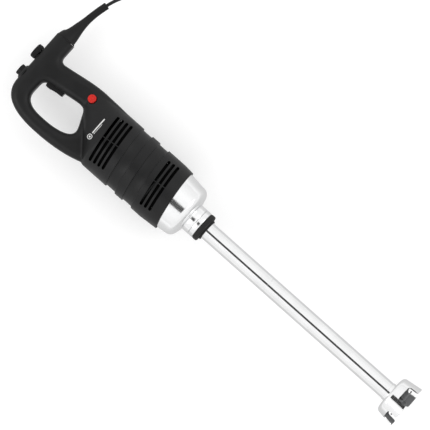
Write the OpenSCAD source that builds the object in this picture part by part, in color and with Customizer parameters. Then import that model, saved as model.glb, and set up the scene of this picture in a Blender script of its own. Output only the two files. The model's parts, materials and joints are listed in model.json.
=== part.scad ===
// Immersion blender: a round motor casing with a D handle, a polished end bell,
// and a detachable steel stick with a four-pronged blade guard.
// It lies on its casing. X runs along the shaft towards the blade, Y towards the
// cord, and Z up through the switch side. Modules are drawn about the shaft axis,
// with x = 0 at the joint face between motor unit and stick.

/* [Casing] */
// Outside diameter of the motor casing
casing_d = 109; // [96:1:131]
// Wall of the motor casing
casing_wall = 4; // [3.4:0.2:4.8]
// Length of the motor casing along its axis
casing_len = 150.5; // [140:0.5:182]
// Depth of the two recessed bands
band_depth = 2.4; // [1:0.2:2.6]
// Width of each recessed band
band_w = 18.5; // [12:0.5:22]
// Slant of the casing's bands, vents and front edge, in degrees
slant = 7.3; // [0:0.1:9]
// Width of a vent slot
slot_w = 5; // [3:0.5:6]
// Distance between vent slots
slot_pitch = 8.4; // [7.5:0.1:10]
// End-to-end length of a vent slot
slot_len = 84; // [60:1:86]

/* [Handle] */
// Length of the handle behind the casing
handle_len = 168.5; // [162:0.5:202]
// Thickness of the handle across the two shells
handle_t = 36; // [34:1:43]
// Edge rounding of the handle
handle_round = 11; // [9:0.5:12]
// Wall of the handle shells
handle_wall = 3; // [2.4:0.2:3.4]
// Width of the cord spur
spur_w = 34; // [30:1:38]
// Reach of the cord spur from the shaft axis
spur_reach = 78; // [74:1:94]

/* [Controls] */
// Length of the trigger
trigger_len = 32; // [26:1:34]
// Width of the trigger
trigger_w = 14; // [10:1:16]
// Travel of the trigger
trigger_travel = 4.5; // [3:0.5:5]
// Diameter of the red side button
side_button_d = 14; // [11:1:16]
// Diameter of the speed dial
dial_d = 25; // [20:1:30]
// Height of the speed dial
dial_h = 9.5; // [8:0.5:12]
// Diameter of the unlock button
unlock_d = 18.6; // [15:0.2:19]
// Clearance round a sliding button
button_gap = 0.3; // [0.25:0.05:0.4]

/* [Motor] */
// Diameter of the armature core
armature_d = 45; // [37.5:0.5:50]
// Stack length of the armature and the stator
core_len = 50; // [42:1:60]
// Air gap between armature and stator
air_gap = 0.5; // [0.4:0.1:1]
// Diameter of the armature shaft
motor_shaft_d = 12; // [10:0.5:13]
// Diameter of the commutator
commutator_d = 26; // [22:1:30]

/* [Bell and collar] */
// Exposed length of the end bell
bell_len = 37.5; // [32:0.5:45]
// Outside diameter of the collar, the nut and the rubber ring
collar_d = 49; // [46:1:58]
// Length of the collar
collar_len = 13; // [11:0.5:15.5]
// Length of the coupling nut's metal rim
nut_len = 9; // [8:0.5:11]
// Length of the rubber ring
ring_len = 9; // [7:0.5:10]

/* [Stick] */
// Outside diameter of the stick tube
tube_d = 30.4; // [26:0.2:32]
// Wall of the stick tube
tube_wall = 1.5; // [1:0.1:1.8]
// Length of the stick tube
tube_len = 387; // [322:1:465]
// Diameter of the drive shaft
drive_d = 8; // [6.6:0.2:9.6]
// Radial running clearance of the shafts
running_gap = 0.04; // [0.02:0.01:0.1]

/* [Guard and blade] */
// Outside diameter of the blade guard at its mouth
guard_d = 76; // [70:1:91]
// Length of the blade guard
guard_len = 40; // [38:1:44]
// Wall of the blade guard
guard_wall = 3.8; // [3:0.2:4.2]
// Tip-to-tip length of the blade
blade_span = 50; // [40:1:56]
// Thickness of the blade
blade_t = 2; // [1.5:0.1:2.5]

/* [Cord] */
// Diameter of the mains cord
cord_d = 5.5; // [5:0.1:5.6]
// Diameter of a plug pin
pin_d = 4.8; // [4:0.1:5]
// Distance between the plug pins
pin_pitch = 19; // [18:0.5:20]

/* [Hidden] */

fine = 96;   // facets of large turned parts
mid = 48;    // facets of small turned parts
far = 400;   // longer than any cut has to be
eps = 0.01;

// --- stations along the shaft ---
casing_r = casing_d / 2;
casing_in = casing_r - casing_wall;
edge_x = -(collar_len + bell_len);       // middle of the casing's slanted front edge
back_x = edge_x - casing_len;            // where the handle begins
handle_back = back_x - handle_len;
core_x = back_x + 51;                    // rear face of the motor cores
rear_bearing_x = core_x - 40;
front_bearing_x = -36;
commutator_x = core_x - 28;
commutator_len = 18;
fan_x = core_x + core_len + 30;          // front face of the fan
tube_x = nut_len + ring_len + 3.5;
guard_seat = 1.5;                        // how far the tube enters the guard
guard_x = tube_x + tube_len - guard_seat;
guard_end = guard_x + guard_len;
blade_x = guard_end - 12;
motor_r = motor_shaft_d / 2;
rear_seat_r = 5;
drive_r = drive_d / 2;
tube_r = tube_d / 2;
collar_r = collar_d / 2;

// --- the resting place of the whole tool ---
dial_gap = 1;
dial_back = handle_back - dial_gap - dial_h;
boot_tip = [handle_back + 29.5, spur_reach + 84.5];
loop_reach = 65;
mid_x = (dial_back + guard_end) / 2;
mid_y = (boot_tip[1] + 1.5 - loop_reach) / 2;
module lying() translate([-mid_x, -mid_y, casing_r]) children();

// --- helpers ---
function bezier(a, b, c, d, n) = [for (i = [0 : n - 1]) let (t = i / n)
    a * pow(1 - t, 3) + 3 * b * t * pow(1 - t, 2) + 3 * c * t * t * (1 - t) + d * pow(t, 3)];

// A solid turned about X from [x, r] points
module turned(points, facets = fine)
    rotate([90, 0, 90]) rotate_extrude($fn = facets) polygon([for (p = points) [p[1], p[0]]]);

// A rod or ring about X from x0 to x1
module rod(x0, x1, r, facets = mid)
    translate([x0, 0, 0]) rotate([0, 90, 0]) cylinder(h = x1 - x0, r = r, $fn = facets);
module ring(x0, x1, r_out, r_in, facets = mid)
    difference() { rod(x0, x1, r_out, facets); rod(x0 - 1, x1 + 1, r_in, facets); }

// A flat shape in the YZ plane, drawn as [y, z], made solid from x0 to x1
module across(x0, x1) translate([x0, 0, 0]) rotate([90, 0, 90]) linear_extrude(x1 - x0) children();

module box(low, high) translate(low) cube(high - low);
module annulus(r_out, r_in) difference() { circle(r_out, $fn = fine); circle(r_in, $fn = fine); }

// Turns its children to the casing's slanted direction about a point of the axis
module slanted(x, y = 0) translate([x, y, 0]) rotate([0, 0, slant]) children();

// A tube of the given radii swept along points, as one closed solid
function unit(v) = v / norm(v);
function heading(path, i) = unit(path[min(i + 1, len(path) - 1)] - path[max(i - 1, 0)]);
function side_of(t) = abs(t[2]) > 0.95 ? unit(cross(t, [1, 0, 0])) : unit(cross(t, [0, 0, 1]));
function ring_at(path, radii, i, sides) = let (t = heading(path, i), s = side_of(t), u = cross(t, s))
    [for (k = [0 : sides - 1]) path[i] + radii[i] * (cos(360 * k / sides) * s + sin(360 * k / sides) * u)];
module swept(path, radii, sides) {
    n = len(path);
    polyhedron(
        points = [for (i = [0 : n - 1]) each ring_at(path, radii, i, sides)],
        faces = concat(
            [[for (k = [0 : sides - 1]) k]],
            [for (i = [0 : n - 2], k = [0 : sides - 1]) let (a = i * sides, b = (k + 1) % sides)
                each [[a + k, a + sides + k, a + sides + b], [a + k, a + sides + b, a + b]]],
            [[for (k = [sides - 1 : -1 : 0]) (n - 1) * sides + k]]),
        convexity = 6);
}

// --- handle outline, in the handle's own frame with x = 0 at the casing's back ---
spur_x = -handle_len + spur_w;
handle_outer = concat(
    bezier([2, -casing_r + 4], [-22, -casing_r - 6], [-55, -loop_reach], [-88, -loop_reach], 8),
    bezier([-88, -loop_reach], [-134, -loop_reach - 0.5], [-handle_len, -55], [-handle_len, -20], 10),
    [[-handle_len, -20], [-handle_len, spur_reach + 20], [spur_x, spur_reach + 20],
     [spur_x, 52], [spur_x + 1, 48.5], [spur_x + 3.5, 46.6]],
    bezier([spur_x + 7, 46], [-105, 48], [-75, casing_r + 1.5], [-45, casing_r + 1.5], 6),
    [[-45, casing_r + 1.5], [-22, casing_r + 1], [2, casing_r]]);
hand_hole = concat(
    bezier([-135, -18], [-135, -34.5], [-122, -40.5], [-98, -40.5], 6),
    bezier([-98, -40.5], [-70, -41], [-41, -36], [-41, -21], 7),
    bezier([-41, -21], [-41, -14], [-49, -2], [-53, 10], 5),
    bezier([-53, 10], [-55, 14], [-60, 15.5], [-68, 15.5], 4),
    [[-68, 15.5], [-94, 12], [-126, 7.2], [-131.5, 5], [-134.5, 1]]);

// --- controls, in the handle's frame ---
dial_y = 33.5;
unlock_y = -5.5;
side_button_at = [-55, 35];
trigger_x = -127.5;                     // rear end of the trigger
board_z = -4;
screw_spots = [[-142, 47], [-150, -38], [-88, -52.8], [-26, -46], [-80, 34]];
lug_y = casing_in - 6.5;                // screw lugs beside the stator
lug_r = 4.5;
screw_r = 1.6;
screw_head_r = 3.2;
lug_spots = [for (s = [-1, 1]) [core_x + core_len / 2, s * lug_y]];
vent_1 = [back_x + 3.5, 0];
vent_2 = [back_x + 111.5, 1.5];
band_x = [edge_x - 96, edge_x - 61.5];  // middles of the recessed bands

module in_handle() translate([back_x, 0, 0]) children();

// ---------------------------------------------------------------- housing shells
module handle_form(grow) in_handle() difference() {
    minkowski() {
        linear_extrude(handle_t - 2 * handle_round, center = true)
            offset(delta = -handle_round) difference() { polygon(handle_outer); polygon(hand_hole); }
        sphere(handle_round + grow, $fn = 16);
    }
    box([-far, spur_reach + grow, -far], [far, far, far]);
}

// Sloped shoulder from the round casing down to the grip bar
module shoulder_form(grow) in_handle() difference() {
    hull() {
        rotate([0, 90, 0]) cylinder(h = 3, r = casing_r + grow, $fn = 48);
        translate([-62, 35.5, 0]) rotate([0, 90, 0])
            scale([1, 1.08, 1]) cylinder(h = 1, r = handle_t / 2 + grow, $fn = 32);
    }
    translate([0, 0, -far / 2]) linear_extrude(far) offset(delta = -grow) polygon(hand_hole);
}

module casing_profile(r_back, r_front) turned([
    [back_x + 1, 0], [back_x + 1, r_back], [edge_x - 24, r_back], [edge_x - 4, r_front],
    [edge_x + 12, r_front - 1.6], [edge_x + 12, 0]]);

module slot_shape() difference() {
    union() {
        square([slot_w, slot_len - slot_w], center = true);
        for (s = [-1, 1]) translate([0, s * (slot_len - slot_w) / 2]) circle(slot_w / 2, $fn = 24);
    }
    translate([0, 2]) square([slot_w + 1, 1.3], center = true);
}

module vents(at, count, side) slanted(at[0], at[1]) for (i = [0 : count - 1])
    translate([i * slot_pitch, 0, side * (casing_r / 2 - 8)])
        mirror([0, 0, side > 0 ? 0 : 1]) linear_extrude(casing_r) slot_shape();

module bands() for (x = band_x) intersection() {
    ring(x - 40, x + 40, casing_r + 5, casing_r - band_depth, fine);
    slanted(x) box([-band_w / 2, -far, -far], [band_w / 2, far, far]);
}

module outer_form() {
    difference() {
        casing_profile(casing_r, casing_r - 1.6);
        bands();
        slanted(edge_x) box([0, -far, -far], [far, far, far]);
    }
    shoulder_form(0);
    handle_form(0);
}

module inner_form() {
    turned([[back_x, 0], [back_x, casing_in], [edge_x + 20, casing_in], [edge_x + 20, 0]]);
    shoulder_form(-handle_wall);
    handle_form(-handle_wall);
}

// Screw bosses of one half, drawn above z = 0
module bosses(h) {
    in_handle() for (p = screw_spots) translate(p) cylinder(h = h, r = lug_r, $fn = mid);
    for (p = lug_spots) intersection() {
        translate(p) cylinder(h = far, r = lug_r, $fn = mid);
        rod(-far, 0, casing_in + 1, fine);
    }
}

module at_screws() {
    in_handle() for (p = screw_spots) translate(p) children();
    for (p = lug_spots) translate(p) children();
}

module control_cuts() in_handle() {
    // trigger slot through the grip bar's inner wall
    box([trigger_x - button_gap, 2, -trigger_w / 2 - button_gap],
        [trigger_x + trigger_len + button_gap, 20, trigger_w / 2 + button_gap]);
    // dial shaft and unlock button through the back wall
    translate([0, dial_y, 0]) rod(-handle_len - 5, -handle_len + 6, 3 + button_gap);
    translate([0, unlock_y, 0]) rod(-handle_len - 5, -handle_len + 6, unlock_d / 2 + button_gap);
}

module unlock_boss() in_handle() translate([-handle_len, unlock_y, 0]) rotate([0, -90, 0])
    translate([0, 0, -2]) cylinder(h = 4.5, r1 = unlock_d / 2 + 6, r2 = unlock_d / 2 + 2, $fn = mid);

boot_neck_r = 9;
module boot_opening() in_handle() translate([-handle_len + spur_w / 2, 0, 0])
    rotate([-90, 0, 0]) cylinder(h = far, r = boot_neck_r, $fn = mid);

module shell_half() difference() {
    union() {
        difference() { outer_form(); inner_form(); }
        unlock_boss();
    }
    control_cuts();
    intersection() { boot_opening(); box([-far * 2, 40, -far], [far, far, far]); }
}

module housing_front() color("#2e2f31") difference() {
    union() {
        intersection() { shell_half(); box([-2 * far, -far, 0], [far, far, far]); }
        bosses(handle_t / 2 - 1);
        in_handle() translate(side_button_at) translate([0, 0, 14]) cylinder(h = 6.5, r = side_button_d / 2 + 4, $fn = mid);
    }
    vents(vent_1, 4, 1);
    vents(vent_2, 3, 1);
    at_screws() translate([0, 0, -1]) cylinder(h = 13, r = screw_r, $fn = 24);
    in_handle() translate(side_button_at) {
        translate([0, 0, 5]) cylinder(h = far, r = side_button_d / 2 + button_gap, $fn = mid);
        translate([0, 0, 20.5]) cylinder(h = far, r = side_button_d / 2 + 1.5, $fn = mid);
    }
}

// A block that stands on the rear shell's floor and carries an inner piece at height z
module post(low, high, z, drop = 0) box([low[0], low[1], -handle_t / 2 + 2 - drop], [high[0], high[1], z]);

module housing_rear() color("#2a2b2d") difference() {
    union() {
        intersection() { shell_half(); box([-2 * far, -far, -far], [far, far, 0]); }
        mirror([0, 0, 1]) bosses(handle_t / 2 - 1);
        in_handle() {
            post([lead_x - 12, clamp_y - 4], [lead_x + 12, clamp_y + 4], -lead_r);
            post([-handle_len + 15, unlock_y - 3], [-handle_len + 19, unlock_y + 3], -6);
            post([trigger_x + 10, switch_y + 2], [trigger_x + 22, switch_y + 12], -9);
            post([-handle_len + 6, dial_y - 2], [-handle_len + 12, dial_y + 2], -8);
            post([-62, 28], [-56, 36], board_z);
            post([-20, 28], [-14, 36], board_z, 19);
        }
    }
    vents(vent_1, 4, -1);
    vents(vent_2, 3, -1);
    at_screws() {
        translate([0, 0, -12]) cylinder(h = 20, r = screw_r + 0.5, $fn = 24);
        translate([0, 0, -10 - far]) cylinder(h = far, r = screw_head_r + 0.3, $fn = 24);
    }
    clamp_spots() translate([0, 0, -12]) cylinder(h = 12, r = 1.25, $fn = 24);
}

// A cross-slotted pan-head screw, head up, with its seat at z = 0
module pan_screw(r, shank, head_r, head_h) difference() {
    union() {
        cylinder(h = head_h, r = head_r, $fn = 24);
        translate([0, 0, -shank]) cylinder(h = shank + eps, r = r, $fn = 24);
    }
    for (a = [0, 90]) rotate(a) translate([-head_r * 0.6, -0.4, head_h - 0.9]) cube([head_r * 1.2, 0.8, 2]);
}

module housing_screws() color("#b9bcc0") at_screws() translate([0, 0, -10])
    rotate([180, 0, 0]) pan_screw(screw_r, 20, screw_head_r, 2.2);

// ---------------------------------------------------------------- controls
trigger_face = [[0, -6.2], [1.5, -8.2], [4, -8.8], [trigger_len, -4.5], [trigger_len, 9], [0, 9]];
flange_y = 19.6;   // the trigger's flange, just inside the grip bar's wall

module trigger() color("#232425") in_handle() {
    translate([trigger_x, 10, -trigger_w / 2]) linear_extrude(trigger_w) polygon(trigger_face);
    box([trigger_x - 2.5, 18.4, -trigger_w / 2 - 2.5], [trigger_x + trigger_len + 2.5, flange_y, trigger_w / 2 + 2.5]);
    translate([trigger_x + trigger_len / 2, flange_y - eps, 0])
        rotate([-90, 0, 0]) cylinder(h = 8, r = 2, $fn = 24);
}

module trigger_spring() color("silver") in_handle() translate([trigger_x + trigger_len / 2, flange_y, 0])
    rotate([-90, 0, 0]) difference() {
        cylinder(h = switch_y - flange_y, r = 4.2, $fn = 32);
        translate([0, 0, -1]) cylinder(h = far, r = 3.2, $fn = 32);
    }

switch_y = flange_y + trigger_travel + 1.2;
module switch_module() color("#39404a") in_handle() difference() {
    box([trigger_x + 3, switch_y, -9], [trigger_x + 29, switch_y + 14, 9]);
    translate([trigger_x + trigger_len / 2, switch_y - 1, 0])
        rotate([-90, 0, 0]) cylinder(h = 10, r = 2 + button_gap, $fn = 24);
}

unlock_x = -handle_len - 9;
unlock_seat = -handle_len + 4.2;   // flange that keeps the button in
module unlock_button() color("#1f2021") in_handle() translate([0, unlock_y, 0]) {
    turned([[unlock_x, 0], [unlock_x, unlock_d / 2 - 1.2], [unlock_x + 1.2, unlock_d / 2],
            [unlock_seat, unlock_d / 2], [unlock_seat, unlock_d / 2 + 0.7],
            [unlock_seat + 1.4, unlock_d / 2 + 0.7], [unlock_seat + 1.4, 2],
            [unlock_seat + 5, 2], [unlock_seat + 5, 0]], mid);
}
module unlock_spring() color("silver") in_handle() translate([0, unlock_y, 0])
    ring(unlock_seat + 1.4, -handle_len + 14, 4.6, 3.4, 32);
module lockout_switch() color("#3c3f44") in_handle() difference() {
    box([-handle_len + 14, unlock_y - 7, -6], [-handle_len + 20, unlock_y + 7, 6]);
    translate([0, unlock_y, 0]) rod(-handle_len + 12, -handle_len + 17, 2 + button_gap, 24);
}

side_top = 24;
module side_button() color("#e0322d") in_handle() translate(side_button_at) rotate_extrude($fn = mid) polygon([
    [0, side_top], [side_button_d / 2 - 1.5, side_top], [side_button_d / 2, side_top - 1.5],
    [side_button_d / 2, 13.6], [side_button_d / 2 + 1.5, 13.6], [side_button_d / 2 + 1.5, 12],
    [2, 12], [2, 8], [0, 8]]);
module side_button_spring() color("silver") in_handle() translate(side_button_at) difference() {
    translate([0, 0, board_z + 1.6]) cylinder(h = 12 - board_z - 1.6, r = 4.6, $fn = 32);
    cylinder(h = far, r = 3.4, center = true, $fn = 32);
}

module speed_dial() color("#1d1e1f") in_handle() translate([0, dial_y, 0]) {
    difference() {
        turned([[-handle_len - dial_gap - dial_h, 0], [-handle_len - dial_gap - dial_h, dial_d / 2 - 2.5],
                [-handle_len - dial_gap - dial_h + 0.8, dial_d / 2 - 0.8],
                [-handle_len - dial_gap - dial_h + 2.6, dial_d / 2],
                [-handle_len - dial_gap, dial_d / 2], [-handle_len - dial_gap, 0]]);
        for (a = [0 : 15 : 345]) rotate([a, 0, 0]) translate([0, dial_d / 2 + 0.55, 0])
            rod(-handle_len - dial_gap - dial_h - 1, -handle_len - dial_gap - 1.5, 1, 16);
    }
    rod(-handle_len - dial_gap - eps, -handle_len + 12, 3, 32);
}
module potentiometer() color("#6f7377") in_handle() translate([0, dial_y, 0]) {
    ring(-handle_len + 4, -handle_len + 13.5, 8, 3 + running_gap);
    rod(-handle_len + 13.4, -handle_len + 15, 8);
}

module control_board() color("#2f6b45") in_handle() {
    box([-64, 20, board_z], [-12, 46, board_z + 1.6]);
    box([-46, 22, board_z + 1.6 - eps], [-42, 42, board_z + 14]);   // heat sink fin
    box([-32, 22, board_z + 1.6 - eps], [-22, 28, board_z + 8]);    // choke
}
module capacitor() color("#c9a23a") in_handle() translate([-24, 39, board_z + 1.6])
    cylinder(h = 16, r = 6, $fn = 32);

// ---------------------------------------------------------------- cord entry
lead_r = 2.7;
lead_x = -handle_len + spur_w / 2;
clamp_y = 58;
flange_at = 65;    // inner end of the boot
module supply_lead() color("#1a1a1a") in_handle() {
    path = [[lead_x, flange_at, 0], [lead_x, 58, 0], [lead_x, 52, 0], [lead_x + 0.7, 46, 0],
            [lead_x + 3.4, 40, 0], [lead_x + 8, 36, 0], [lead_x + 14, 33, 0],
            [trigger_x - 4, switch_y + 7, 0], [trigger_x + 3, switch_y + 7, 0]];
    swept(path, [for (p = path) lead_r], 10);
}
module clamp_spots() in_handle() for (s = [-1, 1]) translate([lead_x + s * 8.5, clamp_y, -lead_r]) children();
module cord_clamp() color("#35363a") in_handle() difference() {
    box([lead_x - 12, clamp_y - 4, lead_r], [lead_x + 12, clamp_y + 4, lead_r + 4]);
    for (s = [-1, 1]) translate([lead_x + s * 8.5, clamp_y, 0]) cylinder(h = far, r = 1.7, $fn = 24);
}
module clamp_screws() color("#b9bcc0") clamp_spots() translate([0, 0, 2 * lead_r + 4]) pan_screw(1.25, 18, 3, 2);

boot_path = [[lead_x, spur_reach, 0], [lead_x, spur_reach + 1.2, 0], [lead_x + 0.3, spur_reach + 4.5, 0],
             [lead_x + 1.2, spur_reach + 8.5, 0], [lead_x + 1.8, spur_reach + 12.5, 0],
             [lead_x + 2.3, spur_reach + 19, 0], [lead_x + 2.8, spur_reach + 28, 0], [lead_x + 4.2, spur_reach + 42, 0],
             [lead_x + 6.2, spur_reach + 57, 0], [lead_x + 8.8, spur_reach + 70, 0], [lead_x + 12.5, spur_reach + 84.5, 0]];
boot_radii = [spur_w / 2 - 0.6, spur_w / 2 - 0.9, spur_w / 2 - 1.9, 13.7, 12.4, 10.8, 9, 6.9, 6.1, 6, 6];
module cord_boot() color("#1b1b1c") in_handle() {
    swept(boot_path, boot_radii, 20);
    translate([lead_x, flange_at, 0]) rotate([-90, 0, 0]) {
        cylinder(h = spur_reach - flange_at + 0.5, r = boot_neck_r - 0.1, $fn = mid);
        cylinder(h = spur_reach - handle_wall - flange_at - 0.2, r = boot_neck_r + 3, $fn = mid);
    }
}

// ---------------------------------------------------------------- motor, fixed parts
armature_r = armature_d / 2;
pole_r = armature_r + air_gap;
stator_r = casing_in - 6;
yoke_in = stator_r - 8;
pole_w = armature_r * 1.3;
bolt_r = 2;
bolt_at = [for (a = [45, 135, 225, 315]) (stator_r - 3.6) * [cos(a), sin(a)]];

module stator_core() color("#8b8f94") across(core_x, core_x + core_len) difference() {
    intersection() {
        union() {
            annulus(stator_r, yoke_in);
            intersection() { annulus(stator_r, pole_r); square([pole_w, far], center = true); }
        }
        square([2 * (lug_y - lug_r - 0.5), far], center = true);
    }
    for (p = bolt_at) translate(p) circle(bolt_r + 0.2, $fn = 24);
}

module coil_sector(r_in, y_in) intersection() {
    annulus(yoke_in - 0.4, r_in);
    difference() {
        translate([0, far / 2 + 4]) square([2 * coil_y, far], center = true);
        if (y_in > 0) translate([0, far / 2]) square([2 * y_in, far + 10], center = true);
    }
}
coil_y = min(yoke_in - 6, pole_w / 2 + 11);
module field_coils() color("#b5652a") for (s = [0, 1]) mirror([0, 0, s]) {
    across(core_x - 9, core_x + core_len + 9) coil_sector(pole_r + 1.5, pole_w / 2 + 0.3);
    for (x = [core_x - 9, core_x + core_len + 0.5]) across(x, x + 8.5) coil_sector(pole_r + 4, 0);
}

bracket_x = core_x - 34;
module bearing_bracket() color("#3a3c40") difference() {
    union() {
        rod(rear_bearing_x - 3, bracket_x + 3, 17);
        rod(bracket_x, bracket_x + 3, stator_r, fine);
        for (p = bolt_at) translate([bracket_x, p[0], p[1]]) rod(0, core_x - bracket_x, bolt_r + 1.6, 24);
    }
    rod(rear_bearing_x, far, 13);
    rod(-far, far, 9);
    for (p = bolt_at) translate([bracket_x - 5, p[0], p[1]]) rod(0, far, bolt_r + 0.2, 24);
    for (a = [0 : 45 : 315]) rotate([a + 22.5, 0, 0]) translate([bracket_x - 1, 0, 0])
        box([0, -4, 21], [5, 4, stator_r - 8]);
}

bolt_tip = edge_x - 2;
module motor_bolts() color("#a9adb2") for (p = bolt_at) translate([0, p[0], p[1]]) {
    rod(bracket_x - 3, bolt_tip, bolt_r, 24);
    rod(bracket_x - 3, bracket_x, bolt_r + 1.6, 6);
}

holder_in = commutator_d / 2 + 1.5;
holder_out = stator_r - 6;
brush_x = commutator_x + 5;
module both_brushes() for (a = [90, 270]) rotate([a, 0, 0]) children();
module brush_holders() color("#c2a24e") both_brushes() difference() {
    box([brush_x - 1.5, -5.5, holder_in], [brush_x + 9.5, 5.5, holder_out]);
    box([brush_x - 0.2, -4.2, 0], [brush_x + 8.2, 4.2, holder_out - 1.5]);
}
brush_out = commutator_d / 2 + 13;
module carbon_brushes() color("#2b2b2d") difference() {
    both_brushes() box([brush_x, -4, commutator_d / 2 - 2], [brush_x + 8, 4, brush_out]);
    rod(brush_x - 1, brush_x + 9, commutator_d / 2 + 0.1);
}
module brush_springs() color("silver") both_brushes() translate([brush_x + 4, 0, 0]) difference() {
    translate([0, 0, brush_out]) cylinder(h = holder_out - 1.5 - brush_out, r = 3.2, $fn = 24);
    cylinder(h = far, r = 2.2, $fn = 24);
}

fan_r = stator_r - 8;
fan_len = 16;
baffle_x = fan_x - fan_len - 3.5;
module fan_baffle() color("#4a4c50") difference() {
    ring(baffle_x, baffle_x + 2.5, casing_in - 0.3, fan_r - 10, fine);
    for (p = bolt_at) translate([baffle_x - 1, p[0], p[1]]) rod(0, 10, bolt_r + 0.3, 24);
}

// ---------------------------------------------------------------- motor, turning parts
module armature_shaft() color("#c7cacd") {
    rod(rear_bearing_x - 1, rear_bearing_x + 12, rear_seat_r);
    rod(rear_bearing_x + 9, -11, motor_r);
}
slot_n = 12;
module slot_marks(r) for (i = [0 : slot_n - 1]) rotate(i * 360 / slot_n)
    translate([armature_r - 4.2, 0]) circle(r, $fn = 24);
module armature_core() color("#7d8186") across(core_x, core_x + core_len) difference() {
    circle(armature_r, $fn = fine);
    circle(motor_r, $fn = mid);
    slot_marks(2.8);
    for (i = [0 : slot_n - 1]) rotate(i * 360 / slot_n) translate([armature_r, 0]) square([6, 1.6], center = true);
}
module armature_windings() color("#b86f33") {
    across(core_x - 1, core_x + core_len + 1) slot_marks(2.6);
    for (x = [core_x - 7.5, core_x + core_len + 0.5]) turned([
        [x, motor_r + 2], [x, armature_r - 6], [x + 2.5, armature_r - 2], [x + 5, armature_r - 1],
        [x + 7, armature_r - 1], [x + 7, motor_r + 2]]);
}
module commutator() color("#c98a4b") across(commutator_x, commutator_x + commutator_len) difference() {
    circle(commutator_d / 2, $fn = fine);
    circle(motor_r, $fn = mid);
    for (a = [0 : 15 : 345]) rotate(a) translate([commutator_d / 2, 0]) square([1.6, 0.6], center = true);
}
module cooling_fan() color("#d8d9da") difference() {
    union() {
        rod(fan_x - 2, fan_x, fan_r, fine);
        rod(fan_x - fan_len, fan_x, motor_r + 4);
        for (a = [0 : 40 : 320]) rotate([a, 0, 0])
            box([fan_x - fan_len + 1, -1, motor_r + 3], [fan_x - 1, 1, fan_r - 0.5]);
    }
    rod(fan_x - 40, fan_x + 1, motor_r);
}

// A deep-groove ball bearing: outer race, balls in their cage, inner race
module race_outer(x, w, r_in, r_out, ball) difference() {
    ring(x, x + w, r_out, r_out - (r_out - r_in) * 0.3);
    groove(x, w, r_in, r_out, ball);
}
module race_inner(x, w, r_in, r_out, ball) difference() {
    ring(x, x + w, r_in + (r_out - r_in) * 0.3, r_in);
    groove(x, w, r_in, r_out, ball);
}
module groove(x, w, r_in, r_out, ball) translate([x + w / 2, 0, 0]) rotate([0, 90, 0])
    rotate_extrude($fn = mid) translate([(r_in + r_out) / 2, 0]) circle(ball + running_gap, $fn = 24);
module ball_set(x, w, r_in, r_out, ball, n) {
    for (i = [0 : n - 1]) rotate([i * 360 / n, 0, 0])
        translate([x + w / 2, 0, (r_in + r_out) / 2]) sphere(ball, $fn = 32);
    ring(x + w / 2 - 0.8, x + w / 2 + 0.8, (r_in + r_out) / 2 + 0.5, (r_in + r_out) / 2 - 0.5);
}
rear_ball = 2.4;
front_ball = 3;
front_out = motor_r + 10;
module rear_bearing_outer() color("#b4b8bc") race_outer(rear_bearing_x, 8, rear_seat_r, 13, rear_ball);
module rear_bearing_inner() color("#c4c8cc") race_inner(rear_bearing_x, 8, rear_seat_r, 13, rear_ball);
module rear_bearing_balls() color("#d0d4d8") ball_set(rear_bearing_x, 8, rear_seat_r, 13, rear_ball, 8);
module front_bearing_outer() color("#b4b8bc") race_outer(front_bearing_x, 10, motor_r, front_out, front_ball);
module front_bearing_inner() color("#c4c8cc") race_inner(front_bearing_x, 10, motor_r, front_out, front_ball);
module front_bearing_balls() color("#d0d4d8") ball_set(front_bearing_x, 10, motor_r, front_out, front_ball, 8);

// ---------------------------------------------------------------- bell and collar
bell_r = casing_in - 0.3;
nose_r = collar_r - 4.5;
shoulder_x = -collar_len - 14;
module motor_bell() color("#d9dbdd") difference() {
    union() {
        turned(concat(
            [[edge_x - 14, bell_r - 4], [edge_x - 14, bell_r], [edge_x - 4, bell_r], [shoulder_x, bell_r - 3.2]],
            [for (a = [15 : 15 : 90]) [shoulder_x + 13 * sin(a), bell_r - 3.2 - (bell_r - 3.2 - collar_r - 5.5) * (1 - cos(a))]],
            [[-collar_len, collar_r + 4.5], [-collar_len, nose_r], [-1, nose_r], [-1, nose_r - 5.5], [-collar_len - 1, nose_r - 5.5],
             [-collar_len - 4, collar_r + 1], [shoulder_x - 1, bell_r - 7.2], [edge_x - 4, bell_r - 4]]));
        ring(front_bearing_x - 2, -collar_len - 1, front_out + 4, front_out - 4);
        ring(-collar_len - 6, -collar_len - 1, collar_r + 1.5, front_out - 4);
        for (p = bolt_at) translate([0, p[0], p[1]]) rod(edge_x - 14, edge_x - 2, 5.8, 32);
    }
    rod(front_bearing_x - 20, front_bearing_x + 10, front_out);
    for (p = bolt_at) translate([0, p[0], p[1]]) rod(edge_x - 20, edge_x - 1, bolt_r, 24);
}
module collar() color("#cfd2d5") turned([
    [-collar_len, nose_r], [-collar_len, collar_r - 0.4], [-collar_len + 0.4, collar_r], [-0.6, collar_r],
    [0, collar_r - 0.6], [0, nose_r]]);

dog_r = 6;
module motor_coupling() color("#aeb2b6") difference() {
    rod(-20, -1, 10);
    rod(-21, -11, motor_r);
    rod(-10, 0, dog_r + 0.3, 6);
}

// ---------------------------------------------------------------- stick
neck_r = tube_r + 0.8;
flange_r = collar_r - 5.2;
body_gap = 0.3;
nut_sleeve = collar_r - 5.5;
module coupling_nut() color("#cfd2d5") turned([
    [body_gap, flange_r + body_gap], [body_gap, collar_r - 0.6], [0.9, collar_r], [nut_len - 0.6, collar_r],
    [nut_len, collar_r - 0.6], [nut_len, nut_sleeve], [nut_len + ring_len - 0.5, nut_sleeve],
    [nut_len + ring_len - 0.5, neck_r + body_gap], [6 + body_gap, neck_r + body_gap], [6 + body_gap, flange_r + body_gap]]);
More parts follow.
